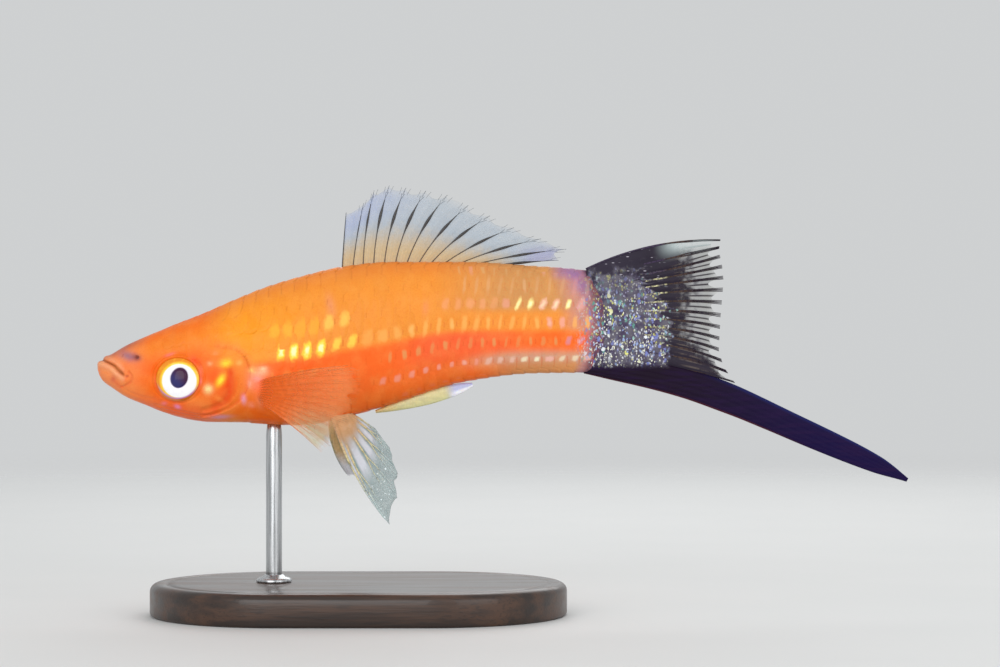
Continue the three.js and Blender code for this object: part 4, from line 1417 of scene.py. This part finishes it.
def pectoral_web():
    web = Web("pectoral_web")
    low = web.fan.span(0.45, 0.95) * web.out.span(0.3, 0.8)
    colour = web.colours((246, 112, 22), (253, 152, 86), 0.3, 0.94)
    opacity = web.opacity(0.62, 0.34, 0.1, 0.8) * web.out.span(0.98, 0.84)
    opacity = opacity * web.out.span(0.0, 0.24, 0.05, 1.0)
    return web.finish(web.blend(low, colour, (206, 196, 150)), opacity)


def make_pectorals():
    def root(t):
        return t, mix(PECTORAL["top"], PECTORAL["bottom"], t)

    def splits(t):
        return () if t < LEADING else (0.5, 0.75)

    def radius(t, share, level):
        plain = mix(0.11, 0.028, share**0.7)
        return plain * np.where(level == 0, 1, 0.7) * np.where(t < LEADING, 1.35, 1.0)

    web = pectoral_web()
    colours = [(244, 108, 22), (248, 130, 48), (250, 166, 100)]
    rays = ray_paint("pectoral_rays", colours, [(0.1, 0.4), (0.55, 0.95)], (0.6, 0.2))
    c, s = math.cos(PECTORAL["splay"]), math.sin(PECTORAL["splay"])
    for name, side in SIDES.items():

        def place(u, v, off, side=side):
            out = u * s + off * c + PECTORAL["cup"] * u * u
            y = side * (half(PECTORAL["x"]) - PECTORAL["sunk"]) + side * out
            return np.stack(np.broadcast_arrays(PECTORAL["x"] + u * c - off * s, y, v), -1)

        fin = Fin(f"pectoral_fin_{name}", "orange_fin", PECTORAL, root, place, side > 0)
        fin.make_web(web, frayed(0.06, 3), lambda share: mix(0.3, 0.05, smooth(share, 0, 0.5)), 0.04)
        fin.make_rays(rays, splits, (0.2, 0.09), 0.99, radius, 0.04)


PELVIC_X = -20.9
PELVIC = {
    "left": {
        "rays": 6,
        "tip_u": [6.6, 7.1, 8.0, 8.0, 7.0, 5.2],
        "tip_v": [-13.2, -13.8, -10.4, -7.2, -4.0, -1.6],
        "turn": [26, 20, 10, 2, -6, -14],
        "lean": math.radians(14),
    },
    "right": {
        "rays": 6,
        "tip_u": [1.0, 2.2, 3.4, 4.4, 4.8, 5.0],
        "tip_v": [-13.2, -13.4, -11.8, -9.6, -7.0, -4.2],
        "turn": [34, 28, 20, 12, 6, 0],
        "lean": math.radians(52),
    },
}


def near_pelvic_web():
    web = Web("pelvic_web")
    out = web.out
    away, chance, _ = web.cells(0.5)
    spark = away.span(0.3, 0.16) * chance.span(0.6, 0.7)
    lead = web.fan.span(0.22, 0.0) * out.span(0.3, 0.6)
    milky = web.fact("Between").span(0.35, 0.85) * abs(out - 0.45).span(0.25, 0.05)
    colour = web.coats(
        web.colours((226, 176, 122), (140, 160, 160), 0.26, 0.56),
        (spark * out.span(0.45, 0.7), (235, 248, 250)),
        (lead, (170, 190, 225)),
        (milky, (214, 218, 226)),
    )
    bright = spark.at_least(lead).at_least(milky)
    return web.finish(colour, web.opacity(0.9, 0.5, 0.25, 0.8).at_least(bright * 0.85))


def far_pelvic_web():
    web = Web("pelvic_far")
    colour = web.colours((240, 200, 132), (244, 244, 250), 0.65, 0.94)
    return web.finish(colour, web.opacity(0.9, 0.75, 0.4, 0.9))


def make_pelvics():
    def root(t):
        return mix(-0.5, 1.9, t), 0.9 - 0.5 * t

    def splits(t):
        return 0.45, 0.7

    def radius(t, share, level):
        plain = mix(0.26, 0.04, share**0.6)
        return plain * np.where(level == 0, 1, 0.6) * np.where(t < LEADING, 1.2, 1.0)

    def thick(share):
        return mix(0.6, 0.06, smooth(share, 0, 0.5))

    webs = {"left": near_pelvic_web(), "right": far_pelvic_web()}
    colours = [(222, 182, 132), (216, 204, 150), (190, 208, 206)]
    rays = ray_paint("pelvic_rays", colours, [(0.2, 0.45), (0.5, 0.8)])
    low = float(belly(PELVIC_X)) + 0.3
    for name, side in SIDES.items():
        pose = PELVIC[name]

        def place(u, v, off, side=side, c=math.cos(pose["lean"]), s=math.sin(pose["lean"])):
            y = side * 1.35 + side * (-v * s + off * c)
            return np.stack(np.broadcast_arrays(PELVIC_X + u, y, low + v * c + off * s), -1)

        fin = Fin(f"pelvic_fin_{name}", "clear_fin", pose, root, place, side > 0)
        fin.make_web(webs[name], frayed(0.035, 4), thick, 0.08, 12)
        fin.make_rays(rays, splits, (0.2, 0.09), 0.95, radius, 0.08)


GONOPODIUM = {
    "root": (-15.9, 25.3),
    "tip": (-3.8, 28.7),
    "turn": 3,
    "depth": [0.4, 0.9, 1.3, 1.6, 1.75, 1.65, 1.3, 0.5],
    "thick": 0.95,
    "rings": 91,
    "around": 48,
}


def gonopodium_paint():
    paint = Paint("gonopodium")
    out, up = paint.fact("Out"), paint.fact("Across")
    colour = paint.coats(
        (216, 184, 116),
        (out.span(0.05, 0.3), (218, 210, 150)),
        (paint.noise(0.4, 3, (0.3, 1, 1)).span(0.35, 0.7, 0, 0.6), (192, 186, 140)),
        (up.span(-0.2, -0.9, 0, 0.5), (214, 214, 160)),
        (out.span(0.7, 0.84), (180, 186, 226)),
        (out.span(0.72, 0.84) * up.span(0.1, -0.6), (246, 246, 255)),
    )
    paint.set(Base_Color=colour, Roughness=0.35, Coat_Weight=0.3, Coat_Roughness=0.15)
    paint.set(Subsurface_Weight=0.2, Subsurface_Radius=(1.0, 0.8, 0.5), Subsurface_Scale=0.3 * MM)
    paint.bump((out * 210.0).sine(), 0.02, 0.5)
    return paint.material


def make_gonopodium():
    root, tip, turn = GONOPODIUM["root"], GONOPODIUM["tip"], GONOPODIUM["turn"]
    share = np.linspace(0, 1, GONOPODIUM["rings"])[:, None]
    u, v = ray_point(root, tip, turn, share)
    heading = math.atan2(tip[1] - root[1], tip[0] - root[0]) + math.radians(turn) * (share - 0.5)
    depth = track(np.linspace(0, 1, len(GONOPODIUM["depth"])), GONOPODIUM["depth"])(share)
    angle = circle(GONOPODIUM["around"])[None]
    ridge = 1 - 0.14 * (0.5 - 0.5 * np.cos(7 * math.pi * np.sin(angle)))
    reach = depth / 2 * np.sin(angle)
    x = u - np.sin(heading) * reach
    y = GONOPODIUM["thick"] / 2 * np.cos(angle) * mix(1, 0.5, share) * ridge
    points = np.stack([x, y, v + np.cos(heading) * reach], -1)
    faces = flipped(closed_tube(*points.shape[:2]))
    paint = gonopodium_paint()
    make_rod("gonopodium_rod", points, faces, paint, "gonopodium", np.sin(angle))


# Stand

STAND = {"x": -18, "length": 52, "width": 34, "height": 4, "rod_x": -28.6, "rod": 1.0}
HALF_ROUND = 64  # points round each end of the base


def make_turned(name, profile, centre, angle, shift, material, node, slot):
    """A piece round an upright axis, from (radius, height) pairs. shift draws it out along X."""
    rings = [
        np.stack([centre + shift + r * np.cos(angle), r * np.sin(angle), np.full(len(angle), h)], -1)
        for r, h in profile
    ]
    faces = closed_tube(len(rings), len(angle))
    make_piece(name, np.vstack(rings), faces, material, [node])


def wood_paint():
    paint = Paint("stand_wood")
    grain = paint.noise(2.2, 6, (0.1, 1.0, 1.4))
    pore = paint.noise(0.25, 3, (0.06, 1, 1))
    colour = paint.blend(grain.span(0.34, 0.66), (38, 24, 17), (74, 48, 32))
    colour = paint.blend(pore.span(0.52, 0.66, 0, 0.5), colour, (24, 15, 11))
    paint.set(Base_Color=colour, Roughness=grain.span(0.3, 0.7, 0.32, 0.46), Coat_Weight=0.25)
    paint.bump(pore, 0.05, 0.5)
    return paint.material


def steel_paint():
    paint = Paint("stand_steel")
    brush = paint.noise(0.2, 3, (1, 1, 0.03))
    tone = paint.blend(brush.span(0.3, 0.7), (168, 170, 172), (206, 208, 210))
    paint.set(Base_Color=tone, Metallic=1.0, Roughness=brush.span(0.3, 0.7, 0.2, 0.36))
    paint.bump(brush, 0.01, 0.4)
    return paint.material


def make_stand():
    top, wide, radius = STAND["height"], STAND["width"] / 2, STAND["rod"]
    # The base: a foot, a rounded edge and a groove round the top
    profile = [(-1.0, 0.0), (-0.35, 0.0), (-0.1, 0.12), (0.0, 0.4)]
    profile += [(-1.0 + math.cos(a), top - 1.0 + math.sin(a)) for a in np.linspace(0, math.pi / 2, 7)]
    profile += [(-1.9, top - 0.02), (-2.15, top - 0.16), (-2.4, top - 0.02), (-3.2, top)]
    profile = [(wide + inward, height) for inward, height in profile]
    front = np.linspace(-math.pi / 2, math.pi / 2, HALF_ROUND)
    straight = STAND["length"] / 2 - wide
    shift = np.repeat([straight, -straight], len(front))
    angle = np.concatenate([front, front + math.pi])
    where = STAND["x"], angle, shift
    make_turned("stand_base_wood", profile, *where, wood_paint(), "stand_base", "stand_wood")
    # The rod goes into the belly with a narrower end
    low = float(belly(STAND["rod_x"]))
    rod = [(radius, height) for height in np.linspace(top - 0.3, low - 1.4, 12)]
    rod += [(radius * 0.96, low - 0.7), (radius * 0.8, low + 0.5)]
    collar = [(2.1, -0.05), (2.2, 0.1), (2.2, 0.35), (2.0, 0.55), (1.45, 0.7), (1.2, 0.95), (1.06, 1.0)]
    collar = [(r, top + height) for r, height in collar]
    steel = steel_paint()
    for name, profile, sides in (("steel", rod, 40), ("collar", collar, 48)):
        where = STAND["rod_x"], circle(sides), 0
        make_turned(f"stand_rod_{name}", profile, *where, steel, "stand_rod", "stand_steel")


# Stage: floor, light and camera

FLOOR_HALF = 0.9
LIGHTS = [  # place, power, size
    ((-0.14, -0.40, 0.14), 0.72, 0.30),
    ((0.24, -0.30, 0.12), 0.3, 0.26),
    ((0.05, 0.30, 0.26), 0.45, 0.30),
]
LIT_POINT = Vector((0, 0, 0.033))
CAMERA_PLACE = (-0.375 * MM, -347 * MM, 35.06 * MM)


def add(name, data):
    thing = bpy.data.objects.new(name, data)
    bpy.context.scene.collection.objects.link(thing)
    return thing


def make_floor():
    """A pale floor that fades out away from the stand."""
    corners = [(x * FLOOR_HALF, y * FLOOR_HALF, 0) for x, y in ((-1, -1), (1, -1), (1, 1), (-1, 1))]
    mesh = bpy.data.meshes.new("floor")
    mesh.from_pydata(corners, [], [(0, 1, 2, 3)])
    paint = Paint("floor_pale")
    length = paint.node("ShaderNodeVectorMath", operation="LENGTH")
    paint.put(length.inputs[0], paint.place())
    away = Value(paint, length.outputs["Value"])
    tone = paint.blend(paint.noise(30, 3), (222, 223, 222), (228, 228, 227))
    paint.set(Base_Color=tone, Roughness=0.7, Alpha=away.span(520, 60))
    mesh.materials.append(paint.material)
    add("floor", mesh)


def make_light():
    world = bpy.data.worlds.new("studio")
    world.use_nodes = True
    sky = world.node_tree.nodes["Background"].inputs
    sky["Color"].default_value = rgba(228, 230, 231)
    sky["Strength"].default_value = 0.8
    bpy.context.scene.world = world
    for number, (place, power, size) in enumerate(LIGHTS):
        name = f"soft_light_{number}"
        data = bpy.data.lights.new(name, "AREA")
        data.energy = power
        data.size = size
        lamp = add(name, data)
        lamp.location = place
        lamp.rotation_euler = (LIT_POINT - Vector(place)).to_track_quat("-Z", "Y").to_euler()
        lamp.visible_camera = False


def make_camera():
    data = bpy.data.cameras.new("camera")
    data.lens = 100
    data.sensor_width = 36
    data.clip_start = 0.01
    data.clip_end = 10
    camera = add("camera", data)
    camera.location = CAMERA_PLACE
    camera.rotation_euler = (math.pi / 2, 0, 0)
    scene = bpy.context.scene
    scene.camera = camera
    scene.view_settings.view_transform = "Standard"


make_skin(skin_paint())
make_scales(scale_paint())
make_eyes(eye_paint())
make_dorsal()
make_tail()
make_sword()
make_pectorals()
make_pelvics()
make_gonopodium()
make_stand()
make_floor()
make_light()
make_camera()
